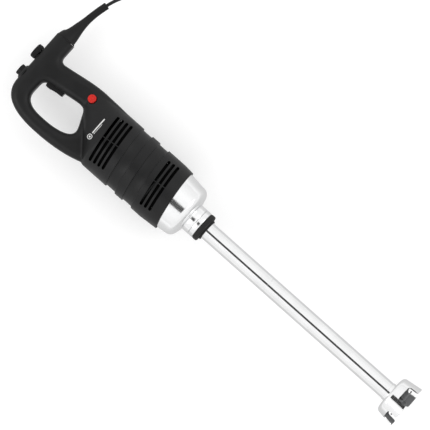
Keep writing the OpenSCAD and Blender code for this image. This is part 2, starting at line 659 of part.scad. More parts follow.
// Grip ring with a lip that covers the end of the nut's sleeve
ring_end = nut_len + ring_len;
lip_r = nut_sleeve - 0.8;
module rubber_ring() color("#242425") turned(concat(
    [[nut_len, nut_sleeve]],
    [for (a = [0 : 15 : 90]) [nut_len + 2.5 - 2.5 * cos(a), collar_r - 2.5 + 2.5 * sin(a)]],
    [for (a = [0 : 15 : 90]) [ring_end - 2.5 + 2.5 * sin(a), collar_r - 2.5 + 2.5 * cos(a)]],
    [[ring_end, lip_r], [ring_end + 2.6, lip_r], [ring_end + 3.2, lip_r - 0.6],
     [ring_end + 3.2, neck_r + body_gap], [ring_end - 0.5, neck_r + body_gap], [ring_end - 0.5, nut_sleeve]]));

adapter_bore = drive_r + 5;
module tube_adapter() color("#bfc3c7") turned([
    [0.1, adapter_bore + 1.5], [0.1, flange_r], [6, flange_r], [6, neck_r], [tube_x, neck_r],
    [tube_x, tube_r - tube_wall], [tube_x + 13, tube_r - tube_wall], [tube_x + 13, adapter_bore],
    [13, adapter_bore], [13, adapter_bore + 1.5]]);
mark_x = 152;   // engraved depth mark
module stick_tube() color("#dfe1e3") difference() {
    ring(tube_x, tube_x + tube_len, tube_r, tube_r - tube_wall, fine);
    ring(mark_x, mark_x + 0.8, tube_r + 1, tube_r - 0.25, fine);
}
module upper_bushing() color("#b98b4e") ring(tube_x - 6, tube_x + 13, adapter_bore, drive_r + running_gap);
bush_x = tube_x + tube_len - 26;
module lower_bushing() color("#b98b4e") ring(bush_x, bush_x + 16, tube_r - tube_wall, drive_r + running_gap);
seal_x = guard_x + 6;
module shaft_seal() color("#5a2f22") turned([
    [seal_x, drive_r + running_gap], [seal_x, 11], [seal_x + 5, 11], [seal_x + 5, 9], [seal_x + 1.5, 9],
    [seal_x + 1.5, 6.5], [seal_x + 4.5, drive_r + 1], [seal_x + 4.5, drive_r + running_gap]], mid);

drive_end = blade_x + blade_t + 4;
module drive_shaft() color("#c7cacd") rod(0.5, drive_end, drive_r);
module shaft_coupling() color("#9a9ea3") difference() {
    union() { rod(-9, 0.5, dog_r, 6); rod(0.5, 12, drive_r + 3.2); }
    rod(0.5, 14, drive_r);
}

// ---------------------------------------------------------------- guard and blade
guard_r = guard_d / 2;
root_r = guard_r - 3.7;
mouth_x = guard_end - 17.5;      // where the windows between the prongs begin
prong_gap = guard_r * 0.86;
module guard_shell() turned([
    [guard_x, tube_r + 0.1], [guard_x, neck_r], [guard_x + 5.5, neck_r], [guard_x + 6, root_r - 8],
    [guard_x + 7.5, root_r - 3], [guard_x + 10, root_r - 0.6], [guard_x + 14, root_r], [guard_end, guard_r],
    [guard_end, guard_r - guard_wall], [guard_x + 15, root_r - guard_wall], [guard_x + 12, root_r - guard_wall - 2.5],
    [guard_x + 11, 14], [guard_x + 11, 11], [guard_x + 6, 11], [guard_x + 6, drive_r + 1.5],
    [guard_x + guard_seat, drive_r + 1.5], [guard_x + guard_seat, tube_r + 0.1]]);
module prong_window() {
    translate([mouth_x + 5, -prong_gap / 2]) square([far, prong_gap]);
    for (s = [-1, 1]) {
        translate([mouth_x + 5, s * (prong_gap / 2 - 5)]) circle(5, $fn = 32);
        translate([guard_end - 3, s * prong_gap / 2]) difference() {
            translate([0, -3]) square([6, 6]);
            translate([0, s * 3]) circle(3, $fn = 32);
        }
    }
    translate([mouth_x, -prong_gap / 2 + 5]) square([10, prong_gap - 10]);
}
module blade_guard() color("#d4d7da") difference() {
    guard_shell();
    for (a = [65, 155, 245, 335]) rotate([a, 0, 0]) linear_extrude(far) prong_window();
}

blade_r = blade_span / 2;
module wing() intersection() {
    circle(blade_r, $fn = fine);
    difference() {
        translate([0, -6]) square([far, 12]);
        translate([blade_r * 0.62, 17]) circle(14, $fn = mid);
    }
}
module blade() color("#c9cdd1") {
    across(blade_x, blade_x + blade_t) difference() {
        union() { wing(); rotate(180) wing(); circle(9, $fn = mid); }
        circle(drive_r, $fn = mid);
    }
    ring(blade_x - 9, blade_x + eps, 7.5, drive_r);
}
module blade_nut() color("#b6babe") difference() {
    union() {
        rod(blade_x + blade_t, blade_x + blade_t + 4.5, 6.8, 6);
        turned([[blade_x + blade_t + 4.4, 0], [blade_x + blade_t + 4.4, 5.6], [blade_x + blade_t + 6.2, 4.6],
                [blade_x + blade_t + 7.4, 2.6], [blade_x + blade_t + 7.8, 0]], mid);
    }
    rod(blade_x, drive_end, drive_r);
}

// ---------------------------------------------------------------- free cord, in the resting frame
// The cord leaves the boot level, sags to the table and enters the lower layer of the coil.
cord_route = [
    [-373.5, 113, 54.5], [-371.9, 118.5, 54.4], [-369.8, 124.5, 53.8], [-367.2, 131, 52.1], [-364.2, 138, 48.8],
    [-361, 145.5, 43.6], [-357.4, 154, 36.6], [-353.6, 163.5, 28.3], [-349.7, 173.5, 20.2], [-345.8, 184, 13],
    [-342, 194.5, 7.9], [-338.8, 205, 5], [-336.2, 215.5, 3.9], [-335, 226, 3.75]];
// The tail leaves the coil's upper layer and runs round to the plug.
tail_route = [
    [-335, 226, 9.25], [-335, 238, 9], [-335, 251, 8.2], [-337.7, 264.5, 7.4], [-345.2, 275.8, 7.2],
    [-356.5, 283.3, 8.2], [-369, 286, 10], [-374, 286, 10]];
coil_at = [-375.5, 226];
coil_out = 43.5;
coil_in = 21;
coil_low = 1;
coil_high = 12.1;
module tube_along(route) swept(route, [for (p = route) cord_d / 2], 10);
module mains_cord() color("#161616") tube_along(cord_route);
module cord_tail() color("#161616") tube_along(tail_route);
module cord_coil() color("#161616") translate([coil_at[0], coil_at[1], coil_low]) difference() {
    cylinder(h = coil_high - coil_low, r = coil_out, $fn = fine);
    translate([0, 0, -1]) cylinder(h = far, r = coil_in, $fn = fine);
}
module cord_tie() color("#303236") translate([coil_at[0], coil_at[1], 0]) rotate([0, 0, 235]) difference() {
    box([coil_in - 2.4, -6, 0], [coil_out + 1.4, 6, coil_high + 1]);
    box([coil_in - 1.4, -7, coil_low], [coil_out + 0.4, 7, coil_high]);
}
plug_back = [-374, 286, 10];
plug_len = 40;
module plug_body() color("#19191a") translate(plug_back) translate([0, 0, -10]) linear_extrude(20)
    polygon([[0, -6], [-3, -6.5], [-10, -10], [-18, -17.5], [-plug_len, -17.5],
             [-plug_len, 17.5], [-18, 17.5], [-10, 10], [-3, 6.5], [0, 6]]);
module plug_pins() color("#c9ccd0") for (s = [-1, 1]) translate(plug_back + [-plug_len, s * pin_pitch / 2, 0])
    rod(-19, 0, pin_d / 2);

lying() housing_front();
lying() housing_rear();
lying() housing_screws();
lying() trigger();
lying() trigger_spring();
lying() switch_module();
lying() unlock_button();
lying() unlock_spring();
lying() lockout_switch();
lying() side_button();
lying() side_button_spring();
lying() speed_dial();
lying() potentiometer();
lying() control_board();
lying() capacitor();
lying() supply_lead();
lying() cord_clamp();
lying() clamp_screws();
lying() cord_boot();
mains_cord();
cord_coil();
cord_tie();
cord_tail();
plug_body();
plug_pins();
lying() stator_core();
lying() field_coils();
lying() motor_bolts();
lying() bearing_bracket();
lying() brush_holders();
lying() carbon_brushes();
lying() brush_springs();
lying() fan_baffle();
lying() armature_shaft();
lying() armature_core();
lying() armature_windings();
lying() commutator();
lying() cooling_fan();
lying() rear_bearing_outer();
lying() rear_bearing_balls();
lying() rear_bearing_inner();
lying() front_bearing_outer();
lying() front_bearing_balls();
lying() front_bearing_inner();
lying() motor_bell();
lying() collar();
lying() motor_coupling();
lying() coupling_nut();
lying() rubber_ring();
lying() tube_adapter();
lying() stick_tube();
lying() upper_bushing();
lying() lower_bushing();
lying() shaft_seal();
lying() blade_guard();
lying() drive_shaft();
lying() shaft_coupling();
lying() blade();
lying() blade_nut();
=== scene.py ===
import bpy
import bmesh
import json
from math import sin, cos, tan, pi, radians, sqrt
from mathutils import Vector, Matrix


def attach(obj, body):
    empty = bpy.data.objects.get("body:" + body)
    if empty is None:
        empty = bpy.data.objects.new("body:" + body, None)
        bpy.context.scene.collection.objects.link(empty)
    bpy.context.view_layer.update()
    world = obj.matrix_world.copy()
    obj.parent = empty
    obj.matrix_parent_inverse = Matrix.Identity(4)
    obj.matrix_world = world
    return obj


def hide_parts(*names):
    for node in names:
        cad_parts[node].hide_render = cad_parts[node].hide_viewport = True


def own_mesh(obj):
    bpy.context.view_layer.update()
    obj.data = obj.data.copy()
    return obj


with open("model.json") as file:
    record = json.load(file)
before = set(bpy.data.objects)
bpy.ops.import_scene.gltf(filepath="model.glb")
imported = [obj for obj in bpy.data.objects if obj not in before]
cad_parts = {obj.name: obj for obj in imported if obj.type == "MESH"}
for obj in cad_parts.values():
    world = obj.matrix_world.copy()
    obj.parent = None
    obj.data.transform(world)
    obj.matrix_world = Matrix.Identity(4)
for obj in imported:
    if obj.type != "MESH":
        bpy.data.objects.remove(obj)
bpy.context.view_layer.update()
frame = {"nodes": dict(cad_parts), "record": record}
nodes = frame["nodes"]
scene = bpy.context.scene
mm = 0.001

casing = {"radius": 54.5, "wall": 4.0, "back": -201.0, "edge": -50.5, "slant": radians(7.3),
          "frontStart": -74.5, "frontDrop": 1.6,
          "bands": (-146.5, -112.0), "bandWidth": 18.5, "bandDepth": 2.4,
          "vents": ((-197.5, 0.0, 4), (-89.5, 1.5, 3)),
          "slotWidth": 5.0, "slotPitch": 8.4, "slotLength": 84.0, "ribAt": 2.0, "ribWidth": 1.3}
handle = {"length": 168.5, "thickness": 36.0, "round": 11.0, "wall": 3.0, "spurWidth": 34.0,
          "spurReach": 78.0, "loopReach": 65.0,
          "voxel": 1.35, "smooth": 14, "lugY": 44.0}
controls = {"dialY": 33.5, "dialRadius": 12.5, "dialHeight": 9.5, "dialGap": 1.0, "unlockY": -5.5,
            "unlockRadius": 9.3,
            "triggerX": -127.5, "triggerLength": 32.0, "triggerWidth": 14.0, "flangeY": 19.6, "gap": 0.3,
            "buttonAt": (-55.0, 35.0), "buttonRadius": 7.0, "buttonTop": 24.0, "screwRadius": 1.6,
            "screws": ((-142, 47), (-150, -38), (-88, -52.8), (-26, -46), (-80, 34))}
nose = {"collarLength": 13.0, "collarRadius": 24.5, "nutLength": 9.0, "ringLength": 9.0, "tubeX": 21.5,
        "tubeEnd": 408.5, "tubeRadius": 15.2,
        "tubeWall": 1.5, "markX": 152.0}
guard = {"x": 407.0, "end": 447.0, "radius": 38.0, "wall": 3.8, "mouth": 429.5, "bladeX": 435.0,
         "span": 50.0, "thickness": 2.0}
cord = {"diameter": 5.5, "coilAt": (-375.5, 226.0), "turns": 7, "pointsPerTurn": 20,
        "route": ((-373.5, 113, 54.5), (-371.9, 118.5, 54.4), (-369.8, 124.5, 53.8), (-367.2, 131, 52.1),
                  (-364.2, 138, 48.8),
                  (-361, 145.5, 43.6), (-357.4, 154, 36.6), (-353.6, 163.5, 28.3), (-349.7, 173.5, 20.2),
                  (-345.8, 184, 13),
                  (-342, 194.5, 7.9), (-338.8, 205, 5), (-336.2, 215.5, 3.9), (-335, 226, 3.75)),
        "tail": ((-335, 238, 9), (-335, 251, 8.2), (-337.7, 264.5, 7.4), (-345.2, 275.8, 7.2),
                 (-356.5, 283.3, 8.2),
                 (-369, 286, 10), (-374, 286, 10))}


def place(x, y, z):
    return Vector((x - 33.5, y - 49.5, z + 54.5)) * mm


def grip(x, y, z):
    return place(x + casing["back"], y, z)


# camera and cord come first
def makeCamera():
    data = bpy.data.cameras.new("camera")
    data.lens = 628
    data.sensor_width = 36
    data.clip_end = 40
    cam = bpy.data.objects.new("camera", data)
    scene.collection.objects.link(cam)
    # a long lens from well back: the far end of the tool doesn't shrink
    target = Vector((-0.0201, -0.0228, 0.0545))
    spot = target + Vector((0.94, 0, 11.96))
    back = (spot - target).normalized()
    up = Vector((-0.6654, 0.7465, 0))
    up = (up - back * up.dot(back)).normalized()
    right = up.cross(back)
    turn = Matrix((right, up, back)).transposed().to_4x4()
    cam.matrix_world = Matrix.Translation(spot) @ turn
    scene.camera = cam


makeCamera()


def coilPoints():
    points = []
    count = cord["turns"] * cord["pointsPerTurn"]
    for i in range(1, count + 1):
        t = i / cord["pointsPerTurn"]
        r = 40.5 - 5.5 * t if t <= 3 else 24 + 5.5 * max(0, t - 4)
        u = min(max(t - 3, 0), 1)
        z = 3.75 + 5.5 * (3 * u * u - 2 * u ** 3)
        a = 2 * pi * t
        points.append((cord["coilAt"][0] + r * cos(a), cord["coilAt"][1] + r * sin(a), z))
    return points


def makeCord():
    curve = bpy.data.curves.new("mainsCord", "CURVE")
    curve.dimensions = "3D"
    curve.bevel_depth = cord["diameter"] / 2 * mm
    curve.bevel_resolution = 6
    curve.resolution_u = 8
    curve.use_fill_caps = True
    points = list(cord["route"]) + coilPoints() + list(cord["tail"])
    spline = curve.splines.new("BEZIER")
    spline.bezier_points.add(len(points) - 1)
    for knot, p in zip(spline.bezier_points, points):
        knot.co = Vector(p) * mm
        knot.handle_left_type = knot.handle_right_type = "AUTO"
    obj = bpy.data.objects.new("mainsCord", curve)
    scene.collection.objects.link(obj)
    return obj


mainsCord = makeCord()
print("camera and cord done")


# small helpers for mesh pieces
def keep(name, bm, angle=35):
    bmesh.ops.remove_doubles(bm, verts=bm.verts, dist=1e-7)
    bmesh.ops.recalc_face_normals(bm, faces=bm.faces)
    mesh = bpy.data.meshes.new(name)
    bm.to_mesh(mesh)
    bm.free()
    obj = bpy.data.objects.new(name, mesh)
    scene.collection.objects.link(obj)
    smooth(obj, angle)
    return obj


def smooth(obj, angle=35):
    obj.data.shade_smooth()
    obj.data.set_sharp_from_angle(angle=radians(angle))


def settle(obj):
    bpy.context.view_layer.update()
    graph = bpy.context.evaluated_depsgraph_get()
    mesh = bpy.data.meshes.new_from_object(obj.evaluated_get(graph))
    mesh.name = obj.name
    old = obj.data
    obj.modifiers.clear()
    obj.data = mesh
    if old.users == 0:
        bpy.data.meshes.remove(old)
    return obj


def discard(obj):
    data = obj.data
    bpy.data.objects.remove(obj)
    if data.users == 0:
        (bpy.data.curves if isinstance(data, bpy.types.Curve) else bpy.data.meshes).remove(data)


def carve(target, tools, operation="DIFFERENCE", leave=False):
    for tool in tools:
        step = target.modifiers.new("carve", "BOOLEAN")
        step.operation = operation
        step.solver = "MANIFOLD"
        step.object = tool
    settle(target)
    if not leave:
        for tool in tools:
            discard(tool)
    return target


def bezier(a, b, c, d, n):
    out = []
    for i in range(n):
        t = i / n
        s = 1 - t
        out.append(tuple(a[k] * s ** 3 + 3 * b[k] * t * s * s + 3 * c[k] * t * t * s + d[k] * t ** 3
                         for k in (0, 1)))
    return out


def soften(points, radius, steps=5, skip=()):
    # rounds the corners of a closed outline, each by as much as its edges allow
    out = []
    n = len(points)
    for i, p in enumerate(points):
        p = Vector(p)
        a, b = Vector(points[i - 1]) - p, Vector(points[(i + 1) % n]) - p
        turn = a.angle(b, pi)
        if i in skip or turn > radians(172) or a.length < 1e-6 or b.length < 1e-6:
            out.append(tuple(p))
            continue
        back = min(radius / tan(turn / 2), a.length * 0.45, b.length * 0.45)
        start, end = p + a.normalized() * back, p + b.normalized() * back
        for k in range(steps + 1):
            t = k / steps
            q = start * (1 - t) ** 2 + p * 2 * t * (1 - t) + end * t * t
            out.append(tuple(q))
    return out


def lathe(name, profile, segments=160, angle=35):
    # turns a closed (x, r) outline about the shaft axis
    bm = bmesh.new()
    verts = [bm.verts.new(place(x, 0, max(r, 0))) for x, r in profile]
    edges = [bm.edges.new((verts[i - 1], verts[i])) for i in range(len(verts))]
    bmesh.ops.spin(bm, geom=verts + edges, cent=place(0, 0, 0), axis=(1, 0, 0), angle=2 * pi,
                   steps=segments,
                   use_merge=True, use_duplicate=False)
    return keep(name, bm, angle)


def prism(name, outline, low, high, put=place):
    # a flat outline made solid from z = low to z = high
    bm = bmesh.new()
    face = bm.faces.new([bm.verts.new(put(x, y, low)) for x, y in outline])
    lift = put(0, 0, high) - put(0, 0, low)
    made = bmesh.ops.extrude_face_region(bm, geom=[face])["geom"]
    bmesh.ops.translate(bm, verts=[v for v in made if isinstance(v, bmesh.types.BMVert)], vec=lift)
    return keep(name, bm)


def block(name, low, high, put=place):
    return prism(name, [(low[0], low[1]), (high[0], low[1]), (high[0], high[1]), (low[0], high[1])], low[2],
                 high[2], put)


def rod(name, start, end, r1, r2=None, segments=64):
    bm = bmesh.new()
    axis = end - start
    bmesh.ops.create_cone(bm, cap_ends=True, segments=segments, radius1=r1 * mm,
                          radius2=(r1 if r2 is None else r2) * mm, depth=axis.length)
    turn = Vector((0, 0, 1)).rotation_difference(axis).to_matrix().to_4x4()
    bmesh.ops.transform(bm, matrix=Matrix.Translation((start + end) / 2) @ turn, verts=bm.verts)
    return keep(name, bm)


def slanted(at, dx, dy):
    # a point of the casing's slanted frame, about (at) on the axis
    c, s = cos(casing["slant"]), sin(casing["slant"])
    return at[0] + dx * c - dy * s, at[1] + dx * s + dy * c


def arc(cx, cy, r, a0, a1, n):
    return [(cx + r * cos(radians(a0 + (a1 - a0) * i / n)),
             cy + r * sin(radians(a0 + (a1 - a0) * i / n))) for i in range(n + 1)]


# handle and casing body
hl, hw = handle["length"], handle["spurWidth"]
spurX = -hl + hw
outerOutline = (bezier((2, -casing["radius"] + 4), (-22, -casing["radius"] - 6),
                       (-55, -handle["loopReach"]), (-88, -handle["loopReach"]), 26)
                + bezier((-88, -handle["loopReach"]), (-134, -handle["loopReach"] - 0.5), (-hl, -55),
                         (-hl, -20), 40)
                + [(-hl, -20), (-hl, 100), (spurX, 100), (spurX, 56)]
                + bezier((spurX, 54), (spurX, 49.5), (spurX + 2.4, 46.6), (spurX + 7, 46), 8)
                + bezier((spurX + 7, 46), (-105, 48), (-75, casing["radius"] + 1.5),
                         (-45, casing["radius"] + 1.5), 24)
                + [(-45, casing["radius"] + 1.5), (-22, casing["radius"] + 1), (2, casing["radius"])])
holeOutline = (bezier((-135, -18), (-135, -34.5), (-122, -40.5), (-98, -40.5), 22)
               + bezier((-98, -40.5), (-70, -41), (-41, -36), (-41, -21), 26)
               + bezier((-41, -21), (-41, -14), (-49, -2), (-53, 10), 16)
               + bezier((-53, 10), (-55, 14), (-60, 15.5), (-68, 15.5), 10)
               + bezier((-68, 15.5), (-94, 12), (-120, 8.2), (-127, 6.6), 10)
               + bezier((-127, 6.6), (-132, 5.4), (-134.6, 2), (-134.8, -3), 8))


def platePiece(name, inset):
    # the flat grip: its outline with rounded edges, as a bevelled curve
    curve = bpy.data.curves.new(name, "CURVE")
    curve.dimensions = "2D"
    curve.fill_mode = "BOTH"
    curve.extrude = (handle["thickness"] / 2 - handle["round"]) * mm
    curve.bevel_depth = (handle["round"] - inset) * mm
    curve.bevel_resolution = 7
    curve.offset = -handle["round"] * mm
    for outline in (outerOutline, holeOutline):
        spline = curve.splines.new("POLY")
        spline.points.add(len(outline) - 1)
        spline.use_cyclic_u = True
        for knot, (x, y) in zip(spline.points, outline):
            p = grip(x, y, 0)
            knot.co = (p.x, p.y, 0, 1)
    obj = bpy.data.objects.new(name, curve)
    scene.collection.objects.link(obj)
    bpy.context.view_layer.update()
    mesh = bpy.data.meshes.new_from_object(obj.evaluated_get(bpy.context.evaluated_depsgraph_get()))
    discard(obj)
    mesh.transform(Matrix.Translation((0, 0, 54.5 * mm)))
    made = bpy.data.objects.new(name, mesh)
    scene.collection.objects.link(made)
    bm = bmesh.new()
    bm.from_mesh(mesh)
    bmesh.ops.remove_doubles(bm, verts=bm.verts, dist=1e-6)
    bm.to_mesh(mesh)
    bm.free()
    return made


def shoulderPiece(name, inset):
    # slopes from the round casing down to the grip bar
    bm = bmesh.new()
    r = casing["radius"] - inset
    big = [(0, r * cos(2 * pi * i / 96), r * sin(2 * pi * i / 96)) for i in range(96)]
    big += [(3, y, z) for _, y, z in big]
    r = handle["thickness"] / 2 - inset
    small = [(-62, 35.5 + r * 1.08 * cos(2 * pi * i / 96), r * sin(2 * pi * i / 96)) for i in range(96)]
    verts = [bm.verts.new(grip(*p)) for p in big + small]
    made = bmesh.ops.convex_hull(bm, input=verts)
    bmesh.ops.delete(bm, geom=[v for v in made["geom_interior"] if isinstance(v, bmesh.types.BMVert)],
                     context="VERTS")
    obj = keep(name, bm)
    if inset == 0:
        carve(obj, [prism("holeTool", holeOutline, -80, 80, grip)])
    return obj


def casingPiece(name, inset, front):
    r = casing["radius"] - inset
    x0, x1 = casing["back"] + 1, casing["frontStart"]
    drop = casing["frontDrop"] if inset == 0 else 0
    return lathe(name, [(x0, 0), (x0, r), (x1, r), (casing["edge"] - 4, r - drop), (front, r - 2 * drop),
                        (front, 0)], 192)


def fused(name, parts, voxel, rounds):
    bm = bmesh.new()
    for part in parts:
        bm.from_mesh(part.data)
        discard(part)
    mesh = bpy.data.meshes.new(name)
    bm.to_mesh(mesh)
    bm.free()
    obj = bpy.data.objects.new(name, mesh)
    scene.collection.objects.link(obj)
    step = obj.modifiers.new("skin", "REMESH")
    step.mode = "VOXEL"
    step.voxel_size = voxel * mm
    step = obj.modifiers.new("soft", "SMOOTH")
    step.factor = 0.5
    step.iterations = rounds
    return settle(obj)


def trueUp(obj):
    # the smoothed skin goes back onto the exact casing surface
    centre = place(0, 0, 0)
    for v in obj.data.vertices:
        x = v.co.x / mm + 33.5
        if x < casing["back"] - 2:
            continue
        t = min(max((x - casing["back"] + 2) / 14, 0), 1)
        w = t * t * (3 - 2 * t)
        want = casing["radius"]
        if x > casing["frontStart"]:
            frontEdge = casing["edge"] - 4
            want -= casing["frontDrop"] * (x - casing["frontStart"]) / (frontEdge - casing["frontStart"])
        flat = Vector((0, v.co.y - centre.y, v.co.z - centre.z))
        r = flat.length / mm
        if abs(r - want) > 6 or r < 1:
            continue
        v.co += flat.normalized() * (want - r) * w * mm


def bandTool(x):
    # recessed band: its cutter is a slanted ring with rounded lips
    c, s = cos(casing["slant"]), sin(casing["slant"])
    h, r, d = casing["bandWidth"] / 2, casing["radius"], casing["bandDepth"]
    half = [(h + 1.0, r + 4), (h + 1.0, r + 0.02)] + [(h + 1.0 - 0.9 * sin(a),
                                                       r - 0.9 * (1 - cos(a))) for a in (0.4, 0.8, 1.2,
                                                            1.5)]
    half += [(h, r - d + 0.7), (h - 0.2, r - d + 0.2), (h - 0.7, r - d)]
    outline = half + [(-u, v) for u, v in reversed(half)]
    bm = bmesh.new()
    rings = []
    steps = 240
    for i in range(steps):
        a = 2 * pi * i / steps
        ring = []
        for u, v in outline:
            y, z = v * sin(a), v * cos(a)
            ring.append(bm.verts.new(place(x + (u - y * s) / c, y, z)))
        rings.append(ring)
    for i in range(steps):
        one, two = rings[i - 1], rings[i]
        for k in range(len(outline)):
            bm.faces.new((one[k - 1], one[k], two[k], two[k - 1]))
    return keep("bandTool", bm)


def slotTools(side):
    tools = []
    w, half = casing["slotWidth"] / 2, casing["slotLength"] / 2 - casing["slotWidth"] / 2
    low, high = casing["ribAt"] - casing["ribWidth"] / 2, casing["ribAt"] + casing["ribWidth"] / 2
    z0, z1 = (casing["radius"] / 2 - 8, 70) if side > 0 else (-70, -(casing["radius"] / 2 - 8))
    for vx, vy, count in casing["vents"]:
        for i in range(count):
            dx = i * casing["slotPitch"]
            upper = arc(dx, half, w, 0, 180, 12) + [(dx - w, high), (dx + w, high)]
            lower = arc(dx, -half, w, 180, 360, 12) + [(dx + w, low), (dx - w, low)]
            for shape in (upper, lower):
                tools.append(prism("slotTool", [slanted((vx, vy), *p) for p in shape], z0, z1))
    return tools


def edgeTool():
    # everything in front of the casing's slanted edge
    pts = [slanted((casing["edge"], 0), dx, dy) for dx, dy in ((0, -90), (90, -90), (90, 90), (0, 90))]
    return prism("edgeTool", pts, -90, 90)


def buildShells():
    outer = fused("outer", [platePiece("plate", 0), shoulderPiece("shoulder", 0),
                            casingPiece("round", 0, casing["edge"] + 12)],
                  handle["voxel"], handle["smooth"])
    trueUp(outer)
    print("outer skin", len(outer.data.polygons))
    inner = fused("inner", [platePiece("plateIn", handle["wall"]),
                            shoulderPiece("shoulderIn", handle["wall"]),
                            casingPiece("roundIn", casing["wall"], casing["edge"] + 20)], 2.4, 4)
    cavityCap = block("cavityCap", (-400, handle["spurReach"] - handle["wall"], -60), (200, 200, 60), grip)
    carve(inner, [cavityCap])
    bossCone = rod("bossCone", grip(-hl + 2, controls["unlockY"], 0),
                   grip(-hl - 4.5 + 2, controls["unlockY"], 0), 15.3, 11.3)
    carve(outer, [bossCone], "UNION")
    b = controls["buttonAt"]
    g = controls["gap"]
    tools = [edgeTool(), block("spurEnd", (-400, handle["spurReach"], -60), (200, 200, 60), grip)]
    tools += [bandTool(x) for x in casing["bands"]]
    carve(outer, tools)
    print("bands and ends cut", len(outer.data.polygons))
    screwSpots = [(x + casing["back"], y) for x, y in controls["screws"]]
    screwSpots += [(-125, -handle["lugY"]), (-125, handle["lugY"])]
    shells = {}
    for name, side in (("housingFront", 1), ("housingRear", -1)):
        shell = bpy.data.objects.new(name, outer.data.copy())
        scene.collection.objects.link(shell)
        z0, z1 = (0.06, 120) if side > 0 else (-120, -0.06)
        carve(shell, [block("half", (-500, -200, z0), (200, 200, z1))], "INTERSECT")
        body = bpy.data.objects.new("body", shell.data.copy())
        scene.collection.objects.link(body)
        carve(shell, [inner], leave=True)
        # screw bosses stand between the walls
        bosses = []
        for x, y in screwSpots:
            a, c = (0.06, 40) if side > 0 else (-40, -0.06)
            bosses.append(rod("boss", place(x, y, a), place(x, y, c), 4.5))
        for boss in bosses:
            carve(boss, [body], "INTERSECT", leave=True)
        carve(shell, bosses, "UNION")
        discard(body)
        cuts = slotTools(side)
        t0, t1 = controls["triggerX"] - g, controls["triggerX"] + controls["triggerLength"] + g
        cuts.append(block("triggerSlot", (t0, 2, -controls["triggerWidth"] / 2 - g),
                          (t1, 20, controls["triggerWidth"] / 2 + g), grip))
        cuts.append(rod("dialHole", grip(-hl - 8, controls["dialY"], 0),
                        grip(-hl + 6, controls["dialY"], 0), 3.3))
        cuts.append(rod("unlockHole", grip(-hl - 8, controls["unlockY"], 0),
                        grip(-hl + 6, controls["unlockY"], 0), controls["unlockRadius"] + g, segments=96))
        cuts.append(rod("bootHole", grip(-hl + hw / 2, 40, 0), grip(-hl + hw / 2, 90, 0), 9))
        for x, y in screwSpots:
            if side > 0:
                cuts.append(rod("pilot", place(x, y, -1), place(x, y, 12), controls["screwRadius"],
                                segments=24))
            else:
                cuts.append(rod("clear", place(x, y, -12), place(x, y, 1), controls["screwRadius"] + 0.5,
                                segments=24))
                cuts.append(rod("well", place(x, y, -80), place(x, y, -10), controls["screwRadius"] + 1.9,
                                segments=48))
        if side > 0:
            cuts.append(rod("buttonHole", grip(b[0], b[1], 5), grip(b[0], b[1], 60),
                            controls["buttonRadius"] + g, segments=96))
            cuts.append(rod("buttonRecess", grip(b[0], b[1], 20.5), grip(b[0], b[1], 60),
                            controls["buttonRadius"] + 1.5, segments=96))
        carve(shell, cuts)
        smooth(shell, 28)
        shells[name] = shell
        print(name, len(shell.data.polygons))
    discard(outer)
    discard(inner)
    return shells


shells = buildShells()


# boot, controls
def loft(name, path, radii, sides, angle=50):
    # a tube through points, finely interpolated
    knots = [Vector(p) for p in path]
    fine, sizes = [], []
    for i in range(len(knots) - 1):
        p0, p1, p2, p3 = knots[max(i - 1, 0)], knots[i], knots[i + 1], knots[min(i + 2, len(knots) - 1)]
        r0, r1, r2, r3 = radii[max(i - 1, 0)], radii[i], radii[i + 1], radii[min(i + 2, len(knots) - 1)]
        for k in range(6):
            t = k / 6
            w = (-0.5 * t + t * t - 0.5 * t ** 3, 1 - 2.5 * t * t + 1.5 * t ** 3,
                 0.5 * t + 2 * t * t - 1.5 * t ** 3, -0.5 * t * t + 0.5 * t ** 3)
            fine.append(p0 * w[0] + p1 * w[1] + p2 * w[2] + p3 * w[3])
            sizes.append(min(max(r0 * w[0] + r1 * w[1] + r2 * w[2] + r3 * w[3], min(r1, r2)), max(r1, r2)))
    fine.append(knots[-1])
    sizes.append(radii[-1])
    # a rounded lip at the far end
    bm = bmesh.new()
    rings = []
    n = len(fine)
    for i in range(n):
        ahead = (fine[min(i + 1, n - 1)] - fine[max(i - 1, 0)]).normalized()
        u = Vector((0, 0, 1)).cross(ahead).normalized()
        v = ahead.cross(u)
        spots = [(0, sizes[i])]
        if i == n - 1:
            spots = [(-0.9, sizes[i]), (-0.3, sizes[i] - 0.25), (0, sizes[i] - 0.9), (0, 2.8)]
        if i == 0:
            spots = [(-0.1, sizes[i])]
        for along, r in spots:
            centre = fine[i] + ahead * along * mm
            around = [u * cos(2 * pi * k / sides) + v * sin(2 * pi * k / sides) for k in range(sides)]
            rings.append([bm.verts.new(centre + one * r * mm) for one in around])
    for one, two in zip(rings, rings[1:]):
        for k in range(sides):
            bm.faces.new((one[k - 1], one[k], two[k], two[k - 1]))
    bm.faces.new(rings[0])
    bm.faces.new(rings[-1])
    return keep(name, bm, angle)


def makeBoot():
    x, y = -hl + hw / 2, handle["spurReach"]
    path = [grip(x + dx, y + dy, 0) for dx, dy in ((0, 0.1), (0, 1.2), (0.3, 4.5), (1.2, 8.5), (1.8, 12.5),
                                                   (2.3, 19), (2.8, 28), (4.2, 42), (6.2, 57), (8.8, 70),
                                                   (12.5, 84.5))]
    boot = loft("cordBoot", path, [16.4, 16.3, 15.3, 13.7, 12.4, 10.8, 9, 6.9, 6.1, 6, 6], 64)
    neck = rod("neck", grip(x, 65, 0), grip(x, y + 2, 0), 8.9)
    flange = rod("flange", grip(x, 65, 0), grip(x, y - handle["wall"] - 0.2, 0), 12)
    carve(boot, [neck, flange], "UNION")
    smooth(boot, 50)
    return boot


